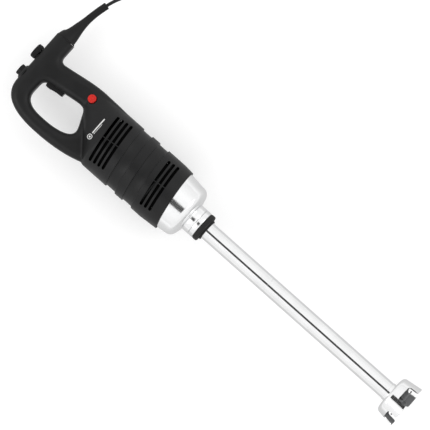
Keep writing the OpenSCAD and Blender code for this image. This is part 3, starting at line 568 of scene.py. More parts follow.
def makeDial():
    r, h, y = controls["dialRadius"], controls["dialHeight"], controls["dialY"]
    x1 = -hl - controls["dialGap"]
    x0 = x1 - h
    profile = [(x0 + 0.35, 0), (x0 + 0.35, r - 4.4), (x0, r - 4.0), (x0, r - 2.5)]
    profile += [(x0 + 2.6 - 2.6 * cos(a), r - 2.5 + 2.5 * sin(a)) for a in (0.25, 0.55, 0.9, 1.25, 1.5)]
    profile += [(x0 + 3.4, r), (x1 - 1.6, r), (x1 - 0.8, r - 0.2), (x1 - 0.5, r - 0.8), (x1, r - 1.0),
                (x1, 0)]
    bm = bmesh.new()
    ribs, per = 40, 8
    rings = []
    for i in range(ribs * per):
        a = 2 * pi * i / (ribs * per)
        dip = 0.55 * (1 - abs(sin(ribs * a / 2)) ** 0.6)
        ring = []
        for x, rr in profile:
            grooved = rr - dip if rr > r - 1.4 and x < x1 - 1.0 else rr
            ring.append(bm.verts.new(grip(x, y + grooved * cos(a), grooved * sin(a))))
        rings.append(ring)
    for i in range(len(rings)):
        one, two = rings[i - 1], rings[i]
        for k in range(len(profile) - 1):
            try:
                bm.faces.new((one[k], one[k + 1], two[k + 1], two[k]))
            except ValueError:
                pass
    dial = keep("speedDial", bm, 40)
    shaft = rod("dialShaft", grip(x1 - 1, y, 0), grip(-hl + 12, y, 0), 3)
    pointer = block("pointer", (x0 - 1, y - 0.6, 3.5), (x0 + 0.9, y + 0.6, r - 2.8), grip)
    carve(dial, [shaft], "UNION")
    carve(dial, [pointer])
    smooth(dial, 40)
    return dial


def turnedAbout(name, profile, put, segments=96, angle=35):
    # profile of (height, radius), put(h, a, b) gives the point
    bm = bmesh.new()
    rings = [[bm.verts.new(put(h, r * cos(2 * pi * i / segments), r * sin(2 * pi * i / segments))) for h,
              r in profile] for i in range(segments)]
    for i in range(segments):
        one, two = rings[i - 1], rings[i]
        for k in range(len(profile) - 1):
            if profile[k][1] < 1e-6 and profile[k + 1][1] < 1e-6:
                continue
            if profile[k][1] < 1e-6:
                bm.faces.new((one[k], one[k + 1], two[k + 1]))
            elif profile[k + 1][1] < 1e-6:
                bm.faces.new((one[k], one[k + 1], two[k]))
            else:
                bm.faces.new((one[k], one[k + 1], two[k + 1], two[k]))
    return keep(name, bm, angle)


def makeSideButton():
    bx, by = controls["buttonAt"]
    r, top = controls["buttonRadius"], controls["buttonTop"]
    profile = [(top - 0.25, 0), (top - 0.2, r * 0.3), (top - 0.1, r * 0.6), (top, r - 1.5)]
    profile += [(top - 1.3 * (1 - cos(a)), r - 1.5 + 1.5 * sin(a)) for a in (0.35, 0.7, 1.05, 1.4)]
    profile += [(top - 1.7, r), (13.6, r), (13.6, r + 1.5), (12, r + 1.5), (12, 2), (8, 2), (8, 0)]
    return turnedAbout("sideButton", profile, lambda h, a, b: grip(bx + a, by + b, h))


def makeUnlockButton():
    y, r = controls["unlockY"], controls["unlockRadius"]
    x, seat = -hl - 9, -hl + 4.2
    profile = [(x, 0), (x, r - 3.2), (x + 0.5, r - 2.9), (x + 0.5, r - 2.3), (x, r - 2.0), (x, r - 1.2)]
    profile += [(x + 1.2 * (1 - cos(a)), r - 1.2 + 1.2 * sin(a)) for a in (0.4, 0.8, 1.2)]
    profile += [(x + 1.2, r), (seat, r), (seat, r + 0.7), (seat + 1.4, r + 0.7), (seat + 1.4, 2),
                (seat + 5, 2), (seat + 5, 0)]
    return turnedAbout("unlockButton", profile, lambda h, a, b: grip(h, y + a, b))


def makeTrigger():
    x, w, n = controls["triggerX"], controls["triggerWidth"] / 2, controls["triggerLength"]
    face = [(0, 3.8), (0.6, 2.2), (1.5, 1.6), (4, 1.2), (9, 1.5)]
    face += [(9 + (n - 12) * t, 1.5 + 3.0 * t + 0.9 * sin(pi * t)) for t in (0.2, 0.4, 0.6, 0.8)]
    face += [(n - 3, 4.6), (n - 0.8, 5.0), (n, 5.8), (n, 19), (0, 19)]
    bm = bmesh.new()
    cap = bm.faces.new([bm.verts.new(grip(x + a, b, -w)) for a, b in face])
    made = bmesh.ops.extrude_face_region(bm, geom=[cap])["geom"]
    bmesh.ops.translate(bm, verts=[v for v in made if isinstance(v, bmesh.types.BMVert)],
                        vec=(0, 0, 2 * w * mm))
    rims = [e for e in bm.edges if abs(e.verts[0].co.z - e.verts[1].co.z) < 1e-6
            and max(v.co.y for v in e.verts) < grip(0, 12, 0).y]
    bmesh.ops.bevel(bm, geom=rims, offset=1.1 * mm, offset_type="OFFSET", segments=4, profile=0.5,
                    affect="EDGES", material=-1)
    trigger = keep("triggerPiece", bm, 40)
    flange = block("flange", (x - 2.5, 18.4, -w - 2.5), (x + n + 2.5, controls["flangeY"], w + 2.5), grip)
    plunger = rod("plunger", grip(x + n / 2, 19, 0), grip(x + n / 2, controls["flangeY"] + 8, 0), 2,
                  segments=24)
    carve(trigger, [flange, plunger], "UNION")
    grooves = [block("groove", (x + a, 0, -w + 2.2), (x + a + 0.9, 1.5 + 3.0 * max(a - 9, 0) / 20 + 0.75,
                                                      w - 2.2), grip) for a in range(7, 27, 3)]
    carve(trigger, grooves)
    smooth(trigger, 40)
    return trigger


def makeSpring(name, start, end, radius, wire, turns):
    # round wire wound between two points of the handle frame
    a, b = grip(*start), grip(*end)
    ahead = (b - a).normalized()
    u = Vector((0, 0, 1))
    v = ahead.cross(u)
    length = (b - a).length - 2 * wire * mm
    bm = bmesh.new()
    rings = []
    steps = 28 * turns
    for i in range(steps + 1):
        turn = 2 * pi * turns * i / steps
        t = i / steps
        rise = t * t * (3 - 2 * t) * 0.35 + t * 0.65
        out = u * cos(turn) + v * sin(turn)
        centre = a + ahead * (wire * mm + length * rise) + out * radius * mm
        around = [out * cos(2 * pi * k / 10) + ahead * sin(2 * pi * k / 10) for k in range(10)]
        rings.append([bm.verts.new(centre + one * wire * mm) for one in around])
    for one, two in zip(rings, rings[1:]):
        for k in range(10):
            bm.faces.new((one[k - 1], one[k], two[k], two[k - 1]))
    bm.faces.new(rings[0])
    bm.faces.new(rings[-1])
    return keep(name, bm, 60)


springX = controls["triggerX"] + controls["triggerLength"] / 2
triggerCoil = makeSpring("triggerCoil", (springX, controls["flangeY"], 0),
                         (springX, controls["flangeY"] + 5.7, 0), 3.7, 0.42, 4)
unlockCoil = makeSpring("unlockCoil", (-hl + 5.6, controls["unlockY"], 0),
                        (-hl + 14, controls["unlockY"], 0), 4.0, 0.5, 5)
cordBoot = makeBoot()
speedDial = makeDial()
sideButton = makeSideButton()
unlockButton = makeUnlockButton()
triggerPiece = makeTrigger()
print("boot and controls done")


# polished nose, stick and guard
def makeBell():
    r = casing["radius"] - casing["wall"] - 0.3
    c, e = nose["collarLength"], casing["edge"]
    cr, sx = nose["collarRadius"], -nose["collarLength"] - 14
    nr = cr - 4.5
    outer = [(e - 14, r), (e - 4, r)]
    drop = r - 3.2 - cr - 5.5
    for i in range(0, 25):
        a = radians(90 * i / 24)
        outer.append((sx + 13 * sin(a), r - 3.2 - drop * (1 - cos(a))))
    base = outer[-1]
    outer += [(base[0] + 0.5 * (1 - cos(a)), base[1] - 0.6 * sin(a)) for a in ()]
    inner = [(-c, cr + 4.5), (-c, nr), (-1, nr), (-1, nr - 5.5), (-c - 1, nr - 5.5), (-c - 4, cr + 1),
             (sx - 1, r - 7.2), (e - 4, r - 4), (e - 14, r - 4)]
    return outer, inner


def makeBellPiece():
    outer, inner = makeBell()
    bell = lathe("endBell", outer + inner, 192, 30)
    seat = lathe("seat", [(-38, 12), (-38, 20), (-14, 20), (-14, 12)], 96)
    web = lathe("web", [(-19, 12), (-19, 26), (-14, 26), (-14, 12)], 96)
    lugs = []
    reach = casing["radius"] - casing["wall"] - 6 - 3.6
    for k in range(4):
        a = radians(45 + 90 * k)
        y, z = reach * cos(a), reach * sin(a)
        lugs.append(rod("lug", place(casing["edge"] - 14, y, z), place(casing["edge"] - 2, y, z), 5.8,
                        segments=48))
    carve(bell, [seat, web] + lugs, "UNION")
    drills = [rod("bearingBore", place(-56, 0, 0), place(-26, 0, 0), 16, segments=96)]
    for k in range(4):
        a = radians(45 + 90 * k)
        y, z = reach * cos(a), reach * sin(a)
        drills.append(rod("drill", place(casing["edge"] - 20, y, z), place(casing["edge"] - 1, y, z), 2,
                          segments=32))
    carve(bell, drills)
    smooth(bell, 30)
    return bell


def makeCollar():
    c, r = nose["collarLength"], nose["collarRadius"]
    outline = [(-c, r - 4.5), (-c, r - 0.9), (-c + 0.5, r - 0.35), (-c + 1.2, r), (-0.5, r),
               (-0.15, r - 0.18), (0, r - 0.55), (0, r - 4.5)]
    return lathe("collarPiece", outline, 160, 50)


def makeNut():
    r, n = nose["collarRadius"], nose["nutLength"]
    flange, sleeve, neck, gap = r - 5.2, r - 5.5, nose["tubeRadius"] + 0.8, 0.3
    end = n + nose["ringLength"] - 0.5
    outline = [(gap, flange + gap), (gap, r - 0.55), (gap + 0.15, r - 0.18), (gap + 0.5, r), (n - 0.5, r),
               (n - 0.15, r - 0.18), (n, r - 0.55),
               (n, sleeve), (end, sleeve), (end, neck + gap), (6 + gap, neck + gap),
               (6 + gap, flange + gap)]
    return lathe("couplingNut", outline, 160, 40)


def makeRubberRing():
    r, x0 = nose["collarRadius"], nose["nutLength"]
    x1, sleeve = nose["nutLength"] + nose["ringLength"], nose["collarRadius"] - 5.5
    outline = [(x0, sleeve)] + [(x0 + 2.5 - 2.5 * cos(radians(a)),
                                 r - 2.5 + 2.5 * sin(radians(a))) for a in range(0, 91, 9)]
    outline += [(x1 - 2.5 + 2.5 * sin(radians(a)), r - 2.5 + 2.5 * cos(radians(a))) for a in range(0, 91,
            9)]
    lip, neck = sleeve - 0.8, nose["tubeRadius"] + 1.1
    outline += [(x1, lip)] + [(x1 + 2.6 + 0.6 * sin(radians(a)),
                               lip - 0.6 + 0.6 * cos(radians(a))) for a in range(0, 91, 15)]
    outline += [(x1 + 3.2, neck), (x1 - 0.5, neck), (x1 - 0.5, sleeve)]
    return lathe("rubberRing", outline, 160, 50)


def makeTube():
    x0, x1, r, m = nose["tubeX"], nose["tubeEnd"], nose["tubeRadius"], nose["markX"]
    outline = [(x0, r - nose["tubeWall"]), (x0, r - 0.3), (x0 + 0.3, r), (m - 0.35, r),
               (m - 0.05, r - 0.25), (m + 0.75, r - 0.25), (m + 1.05, r), (x1, r),
               (x1, r - nose["tubeWall"])]
    return lathe("stickTube", outline, 160, 30)


def makeGuard():
    x, e, r, w = guard["x"], guard["end"], guard["radius"], guard["wall"]
    t, root = nose["tubeRadius"], guard["radius"] - 3.7
    outer = [(x, t + 0.1), (x, t + 0.5), (x + 0.3, t + 0.8), (x + 4.6, t + 0.8)]
    outer += [(x + 5.6 - 0.6 * cos(radians(a)), t + 1.6 - 0.8 * sin(radians(a))) for a in (60, 30, 0)]
    outer += [(x + 5.2, root - 9)]
    outer += bezier((x + 5.3, root - 8), (x + 5.8, root - 3.5), (x + 7.8, root - 0.3), (x + 14, root), 14)
    outer += [(x + 14, root), (e - 0.5, r - 0.1), (e - 0.1, r - 0.3), (e, r - 0.7)]
    inner = [(e, r - w + 0.5), (e - 0.4, r - w), (x + 15, root - w), (x + 12, root - w - 2.5), (x + 11, 14),
             (x + 11, 11), (x + 6, 11), (x + 6, 5.5),
             (x + 1.5, 5.5), (x + 1.5, t + 0.1)]
    piece = lathe("bladeGuard", outer + inner, 240, 30)
    gap, m = r * 0.86, guard["mouth"]
    tools = []
    for a in (65, 155, 245, 335):
        flat = [(e + 6, gap / 2 + 3)] + [(e - 3 + 3 * sin(radians(b)),
                                          gap / 2 + 3 - 3 * cos(radians(b))) for b in (90, 70, 50, 30, 15,
                                                  0)]
        flat += arc(m + 5, gap / 2 - 5, 5, 90, 180, 9)
        flat += [(u, -v) for u, v in reversed(flat)]
        bm = bmesh.new()
        turn = Matrix.Rotation(radians(a), 4, "X")
        base = place(0, 0, 0)
        face = bm.faces.new([bm.verts.new(base + turn @ (Vector((u, v, 14)) * mm)) for u, v in flat])
        made = bmesh.ops.extrude_face_region(bm, geom=[face])["geom"]
        bmesh.ops.translate(bm, verts=[v for v in made if isinstance(v, bmesh.types.BMVert)],
                            vec=turn @ Vector((0, 0, 0.05)))
        tools.append(keep("windowTool", bm))
    carve(piece, tools)
    smooth(piece, 30)
    return piece


def makeBlade():
    # two swept wings with ground leading edges, on a hub
    x, r, th = guard["bladeX"], guard["span"] / 2, guard["thickness"]
    bm = bmesh.new()
    turns = []
    for flip in (0, pi):
        wing = [(7.0, -6, 0), (r * 0.5, -6, 0), (sqrt(r * r - 36), -6, 0)]
        wing += [(r * cos(a), r * sin(a), 0) for a in (-0.12, 0.0, 0.12)]
        wing += [(sqrt(r * r - 36), 6, 1)]
        wing += [(blx, 17 - sqrt(max(14 * 14 - (blx - r * 0.62) ** 2, 0)), 1) for blx in (21, 18.5, 15.5,
                12.5, 10.2)]
        wing += [(8.2, 6, 1)]
        turns += [(u * cos(flip) - v * sin(flip), u * sin(flip) + v * cos(flip), k) for u, v, k in wing]
        turns += [(9 * cos(b + flip), 9 * sin(b + flip), 0) for b in (radians(60), radians(85),
                                                            radians(110))]
    low = [bm.verts.new(place(x, u, v)) for u, v, k in turns]
    high = [bm.verts.new(place(x + th, u * (0.93 if k else 1),
                               v - (1.6 * (1 if v > 0 else -1) if k else 0))) for u, v, k in turns]
    bm.faces.new(low)
    bm.faces.new(high)
    for i in range(len(low)):
        bm.faces.new((low[i - 1], low[i], high[i], high[i - 1]))
    blade = keep("bladePiece", bm, 20)
    hub = rod("hub", place(x - 9, 0, 0), place(x + 0.2, 0, 0), 7.5)
    carve(blade, [hub], "UNION")
    carve(blade, [rod("bore", place(x - 12, 0, 0), place(x + 6, 0, 0), 4)])
    smooth(blade, 20)
    return blade


endBell = makeBellPiece()
collarPiece = makeCollar()
couplingNut = makeNut()
rubberRing = makeRubberRing()
stickTube = makeTube()
bladeGuard = makeGuard()
bladePiece = makeBlade()
print("nose, stick and guard done")


# printed mark
def makeMark(shell):
    # a ring with a dot and two bars, laid on the shell's skin
    bm = bmesh.new()
    flats = []
    for rOut, rIn in ((4.6, 3.5), (1.7, 0.0)):
        n = 40
        outer = [(-16 + rOut * cos(2 * pi * i / n), -12.5 + rOut * sin(2 * pi * i / n)) for i in range(n)]
        if rIn > 0:
            inner = [(-16 + rIn * cos(2 * pi * i / n), -12.5 + rIn * sin(2 * pi * i / n)) for i in range(n)]
            flats += [(outer[i - 1], outer[i], inner[i], inner[i - 1]) for i in range(n)]
        else:
            flats += [(outer[i - 1], outer[i], (-16, -12.5)) for i in range(n)]
    for x0, x1, y0, y1 in ((-17.2, -15.2, -5.5, 24), (-13.6, -12.9, -5.5, 15)):
        steps = 24
        for i in range(steps):
            a, b = y0 + (y1 - y0) * i / steps, y0 + (y1 - y0) * (i + 1) / steps
            flats.append(((x0, a), (x1, a), (x1, b), (x0, b)))
    for flat in flats:
        corners = []
        for x, y in flat:
            p = grip(x, y, 80)
            hit, spot, normal, _ = shell.ray_cast(p, (0, 0, -1))
            corners.append(bm.verts.new(spot + normal * 0.07 * mm))
        bm.faces.new(corners)
    bmesh.ops.remove_doubles(bm, verts=bm.verts, dist=1e-6)
    skin = bm.faces[:]
    bmesh.ops.solidify(bm, geom=skin, thickness=0.05 * mm)
    return keep("printedMark", bm)


bpy.context.view_layer.update()
printedMark = makeMark(shells["housingFront"])
print("mark done")


# plug, pins and tie
def makePlug():
    # a slim round-pin plug body: rounded sections lofted along its length
    sections = [(0, 5.6, 5.6, 5.4), (0.6, 6.2, 6.2, 5.9), (5, 6.6, 6.6, 6.2), (9, 9.0, 7.6, 6.6),
                (14, 13.4, 8.6, 7.2), (18.5, 16.4, 9.4, 7.6),
                (23, 17.3, 9.9, 7.8), (38.6, 17.3, 9.9, 7.8), (39.6, 16.9, 9.5, 7.4), (40, 15.9, 8.5, 6.5)]
    bm = bmesh.new()
    rings = []
    for i, (back, wide, high, corner) in enumerate(sections):
        ring = []
        for k in range(64):
            a = 2 * pi * k / 64
            u, v = cos(a), sin(a)
            c = min(corner, wide, high)
            su, sv = (1 if u > 0 else -1), (1 if v > 0 else -1)
            ring.append(bm.verts.new(Vector((-374 - back, 286 + su * (wide - c) + c * u,
                                             10 + sv * (high - c) + c * v)) * mm))
        rings.append(ring)
    for one, two in zip(rings, rings[1:]):
        for k in range(64):
            bm.faces.new((one[k - 1], one[k], two[k], two[k - 1]))
    bm.faces.new(rings[0])
    bm.faces.new(rings[-1])
    plug = keep("plugBody", bm, 35)
    grooves = []
    for side in (-1, 1):
        for i in range(5):
            x = -374 - 24.5 - 2.4 * i
            lo, hi = sorted((286 + side * 16.7, 286 + side * 19))
            grooves.append(prism("groove", [(x, lo), (x - 1.1, lo), (x - 1.1, hi), (x, hi)], 3.5, 16.5,
                                 lambda x, y, z: Vector((x, y, z)) * mm))
    carve(plug, grooves)
    smooth(plug, 35)
    return plug


def makePins():
    bm = bmesh.new()
    for side in (-1, 1):
        y = 286 + side * 9.5
        profile = [(-414, 0), (-414, 2.4), (-431.2, 2.4), (-432.2, 2.05), (-432.8, 1.3), (-433, 0)]
        rings = [[bm.verts.new(Vector((x, y + r * cos(2 * pi * k / 32),
                                       10 + r * sin(2 * pi * k / 32))) * mm) for k in range(32)] for x,
                 r in profile]
        for one, two in zip(rings, rings[1:]):
            for k in range(32):
                bm.faces.new((one[k - 1], one[k], two[k], two[k - 1]))
    bmesh.ops.dissolve_degenerate(bm, dist=1e-7, edges=bm.edges)
    return keep("plugPins", bm, 40)


def makeTie():
    # a strap round the coil
    cx, cy = cord["coilAt"]
    turn = radians(235)

    def put(u, v, z):
        return Vector((cx + u * cos(turn) - v * sin(turn), cy + u * sin(turn) + v * cos(turn), z)) * mm

    outer = soften([(18.7, 0.02), (44.8, 0.02), (44.8, 13.0), (18.7, 13.0)], 2.2, 6)
    inner = soften([(19.6, 1.0), (43.9, 1.0), (43.9, 12.1), (19.6, 12.1)], 1.4, 6)
    bm = bmesh.new()
    rows = []
    for v in (-6.0, -5.4, 5.4, 6.0):
        inset = 0.25 if abs(v) > 5.9 else 0
        a = [bm.verts.new(put(p[0] + (inset if p[0] < 30 else -inset), v,
                              p[1] + (inset if p[1] < 6 else -inset))) for p in outer]
        b = [bm.verts.new(put(p[0], v, p[1])) for p in inner]
        rows.append((a, b))
    n = len(outer)
    for (a, b), (c, d) in zip(rows, rows[1:]):
        for k in range(n):
            bm.faces.new((a[k - 1], a[k], c[k], c[k - 1]))
            bm.faces.new((b[k - 1], b[k], d[k], d[k - 1]))
    for a, b in (rows[0], rows[-1]):
        for k in range(n):
            bm.faces.new((a[k - 1], a[k], b[k], b[k - 1]))
    return keep("coilTie", bm, 35)


def makeSlotShadeSheets():
    # painted shade: a near-black sheet behind the air slots, on the upper and lower side, stands in for the
    # shade inside the casing
    bm = bmesh.new()
    for x0, x1 in ((-196.6, -166.0), (-95.5, -66.5)):
        for side in (1, -1):
            rings = []
            for i in range(49):
                a = radians(-62 + 124 * i / 48)
                ring = [(x0, 49.7), (x0, 50.15), (x1, 50.15), (x1, 49.7)]
                rings.append([bm.verts.new(place(x, r * sin(a), side * r * cos(a))) for x, r in ring])
            for one, two in zip(rings, rings[1:]):
                for k in range(4):
                    bm.faces.new((one[k - 1], one[k], two[k], two[k - 1]))
            bm.faces.new(rings[0])
            bm.faces.new(rings[-1])
    return keep("slotShadeSheet", bm, 40)


slotShadeSheet = makeSlotShadeSheets()
plugBody = makePlug()
plugPins = makePins()
coilTie = makeTie()
print("plug and tie done")


# shared node groups
def newGroup(name, inputs, outputs):
    group = bpy.data.node_groups.new(name, "ShaderNodeTree")
    for label, kind, value in inputs:
        socket = group.interface.new_socket(label, in_out="INPUT", socket_type=kind)
        socket.default_value = value
    for label, kind in outputs:
        group.interface.new_socket(label, in_out="OUTPUT", socket_type=kind)
    return group, group.nodes.new("NodeGroupInput"), group.nodes.new("NodeGroupOutput")


def add(tree, kind, **values):
    node = tree.nodes.new(kind)
    for key, value in values.items():
        setattr(node, key, value)
    return node


def link(tree, a, b):
    tree.links.new(a, b)


def makeVariation():
    # slow change over the surface, between two numbers
    group, inp, out = newGroup("surfaceVariation", [("Scale", "NodeSocketFloat", 30.0),
                                                    ("Low", "NodeSocketFloat", 0.3),
                                                    ("High", "NodeSocketFloat", 0.5)],
                               [("Value", "NodeSocketFloat")])
    spot = add(group, "ShaderNodeTexCoord")
    noise = add(group, "ShaderNodeTexNoise")
    noise.inputs["Detail"].default_value = 4
    ramp = add(group, "ShaderNodeMapRange")
    ramp.inputs["From Min"].default_value = 0.32
    ramp.inputs["From Max"].default_value = 0.68
    link(group, spot.outputs["Object"], noise.inputs["Vector"])
    link(group, inp.outputs["Scale"], noise.inputs["Scale"])
    link(group, noise.outputs["Fac"], ramp.inputs["Value"])
    link(group, inp.outputs["Low"], ramp.inputs["To Min"])
    link(group, inp.outputs["High"], ramp.inputs["To Max"])
    link(group, ramp.outputs["Result"], out.inputs["Value"])
    return group


def makeGrain():
    # moulded or cast texture as a bump
    group, inp, out = newGroup("fineGrain", [("Scale", "NodeSocketFloat", 1500.0), ("Strength",
            "NodeSocketFloat", 0.2), ("Depth", "NodeSocketFloat", 0.0001)],
                               [("Normal", "NodeSocketVector")])
    spot = add(group, "ShaderNodeTexCoord")
    noise = add(group, "ShaderNodeTexNoise")
    noise.inputs["Detail"].default_value = 2
    bump = add(group, "ShaderNodeBump")
    link(group, spot.outputs["Object"], noise.inputs["Vector"])
    link(group, inp.outputs["Scale"], noise.inputs["Scale"])
    link(group, noise.outputs["Fac"], bump.inputs["Height"])
    link(group, inp.outputs["Strength"], bump.inputs["Strength"])
    link(group, inp.outputs["Depth"], bump.inputs["Distance"])
    link(group, bump.outputs["Normal"], out.inputs["Normal"])
    return group


def makeHairlines():
    # fine lines left by polishing or grinding: noise stretched along one direction
    group, inp, out = newGroup("hairlines", [("Stretch", "NodeSocketVector", (2500.0, 12.0, 12.0)),
                                             ("Strength", "NodeSocketFloat", 0.05)],
                               [("Normal", "NodeSocketVector"), ("Fac", "NodeSocketFloat")])
    spot = add(group, "ShaderNodeTexCoord")
    stretch = add(group, "ShaderNodeVectorMath", operation="MULTIPLY")
    noise = add(group, "ShaderNodeTexNoise")
    noise.inputs["Scale"].default_value = 1
    noise.inputs["Detail"].default_value = 3
    bump = add(group, "ShaderNodeBump")
    bump.inputs["Distance"].default_value = 0.00005
    link(group, spot.outputs["Object"], stretch.inputs[0])
    link(group, inp.outputs["Stretch"], stretch.inputs[1])
    link(group, stretch.outputs["Vector"], noise.inputs["Vector"])
    link(group, noise.outputs["Fac"], bump.inputs["Height"])
    link(group, inp.outputs["Strength"], bump.inputs["Strength"])
    link(group, bump.outputs["Normal"], out.inputs["Normal"])
    link(group, noise.outputs["Fac"], out.inputs["Fac"])
    return group


def makeEdges():
    # how worn an outer edge is, broken up by noise
    group, inp, out = newGroup("edgeWear", [("Amount", "NodeSocketFloat", 0.5)],
                               [("Fac", "NodeSocketFloat")])
    shape = add(group, "ShaderNodeNewGeometry")
    spot = add(group, "ShaderNodeTexCoord")
    noise = add(group, "ShaderNodeTexNoise")
    noise.inputs["Scale"].default_value = 160
    ramp = add(group, "ShaderNodeMapRange")
    ramp.inputs["From Min"].default_value = 0.53
    ramp.inputs["From Max"].default_value = 0.66
    times = add(group, "ShaderNodeMath", operation="MULTIPLY")
    scaled = add(group, "ShaderNodeMath", operation="MULTIPLY")
    link(group, shape.outputs["Pointiness"], ramp.inputs["Value"])
    link(group, spot.outputs["Object"], noise.inputs["Vector"])
    link(group, ramp.outputs["Result"], times.inputs[0])
    link(group, noise.outputs["Fac"], times.inputs[1])
    link(group, times.outputs["Value"], scaled.inputs[0])
    link(group, inp.outputs["Amount"], scaled.inputs[1])
    link(group, scaled.outputs["Value"], out.inputs["Fac"])
    return group


groups = {"variation": makeVariation(), "grain": makeGrain(), "hairlines": makeHairlines(),
          "edges": makeEdges()}


def useGroup(tree, key, **values):
    node = tree.nodes.new("ShaderNodeGroup")
    node.node_tree = groups[key]
    for label, value in values.items():
        node.inputs[label].default_value = value
    return node


def tinted(tree, shader, colour, spread, scale, wear=0.0, wearGain=3.0):
    # base colour drifts a little over the surface, and lightens on worn edges
    drift = useGroup(tree, "variation", Scale=scale, Low=0.0, High=1.0)
    mix = add(tree, "ShaderNodeMix", data_type="RGBA")
    mix.inputs[6].default_value = (*[c * (1 - spread) for c in colour], 1)
    mix.inputs[7].default_value = (*[min(c * (1 + spread), 1) for c in colour], 1)
    link(tree, drift.outputs["Value"], mix.inputs[0])
    last = mix.outputs[2]
    if wear > 0:
        edge = useGroup(tree, "edges", Amount=wear)
        worn = add(tree, "ShaderNodeMix", data_type="RGBA")
        worn.inputs[7].default_value = (*[min(c * wearGain, 1) for c in colour], 1)
        link(tree, edge.outputs["Fac"], worn.inputs[0])
        link(tree, last, worn.inputs[6])
        last = worn.outputs[2]
    link(tree, last, shader.inputs["Base Color"])


def newMaterial(name):
    mat = bpy.data.materials.new(name)
    mat.use_nodes = True
    return mat, mat.node_tree, mat.node_tree.nodes["Principled BSDF"]


def plastic(name, colour, rough, grain, spread=0.12, scale=25, specular=0.3, wear=0.0, wearGain=3.0):
    mat, tree, shader = newMaterial(name)
    shader.inputs["Specular IOR Level"].default_value = specular
    tinted(tree, shader, colour, spread, scale, wear, wearGain)
    polish = useGroup(tree, "variation", Scale=scale * 2.3, Low=rough[0], High=rough[1])
    link(tree, polish.outputs["Value"], shader.inputs["Roughness"])
    skin = useGroup(tree, "grain", Scale=grain[0], Strength=grain[1], Depth=grain[2])
    link(tree, skin.outputs["Normal"], shader.inputs["Normal"])
    return mat


def metal(name, colour, rough, stretch, lines, spread=0.03, scale=40):
    mat, tree, shader = newMaterial(name)
    shader.inputs["Metallic"].default_value = 1.0
    tinted(tree, shader, colour, spread, scale)
    polish = useGroup(tree, "variation", Scale=scale * 1.7, Low=rough[0], High=rough[1])
    hair = useGroup(tree, "hairlines", Stretch=stretch, Strength=lines)
    # the lines also break up the polish
    blend = add(tree, "ShaderNodeMath", operation="MULTIPLY_ADD")
    blend.inputs[1].default_value = (rough[1] - rough[0]) * 0.8
    link(tree, hair.outputs["Fac"], blend.inputs[0])
    link(tree, polish.outputs["Value"], blend.inputs[2])
    link(tree, blend.outputs["Value"], shader.inputs["Roughness"])
    link(tree, hair.outputs["Normal"], shader.inputs["Normal"])
    return mat


def banded(name, first, second, metallic, rough, bands, direction="X", kind="BANDS"):
    # wound wire or stacked sheets: fine alternating bands
    mat, tree, shader = newMaterial(name)
    shader.inputs["Metallic"].default_value = metallic
    spot = add(tree, "ShaderNodeTexCoord")
    wave = add(tree, "ShaderNodeTexWave", wave_type=kind, bands_direction=direction)
    wave.inputs["Scale"].default_value = bands
    wave.inputs["Distortion"].default_value = 1.5
    wave.inputs["Detail Scale"].default_value = 40
    mix = add(tree, "ShaderNodeMix", data_type="RGBA")
    mix.inputs[6].default_value = (*first, 1)
    mix.inputs[7].default_value = (*second, 1)
    bump = add(tree, "ShaderNodeBump")
    bump.inputs["Strength"].default_value = 0.6
    bump.inputs["Distance"].default_value = 0.0002
    polish = useGroup(tree, "variation", Scale=90, Low=rough[0], High=rough[1])
    link(tree, spot.outputs["Object"], wave.inputs["Vector"])
    link(tree, wave.outputs["Fac"], mix.inputs[0])
    link(tree, mix.outputs[2], shader.inputs["Base Color"])
    link(tree, wave.outputs["Fac"], bump.inputs["Height"])
    link(tree, bump.outputs["Normal"], shader.inputs["Normal"])
    link(tree, polish.outputs["Value"], shader.inputs["Roughness"])
    return mat


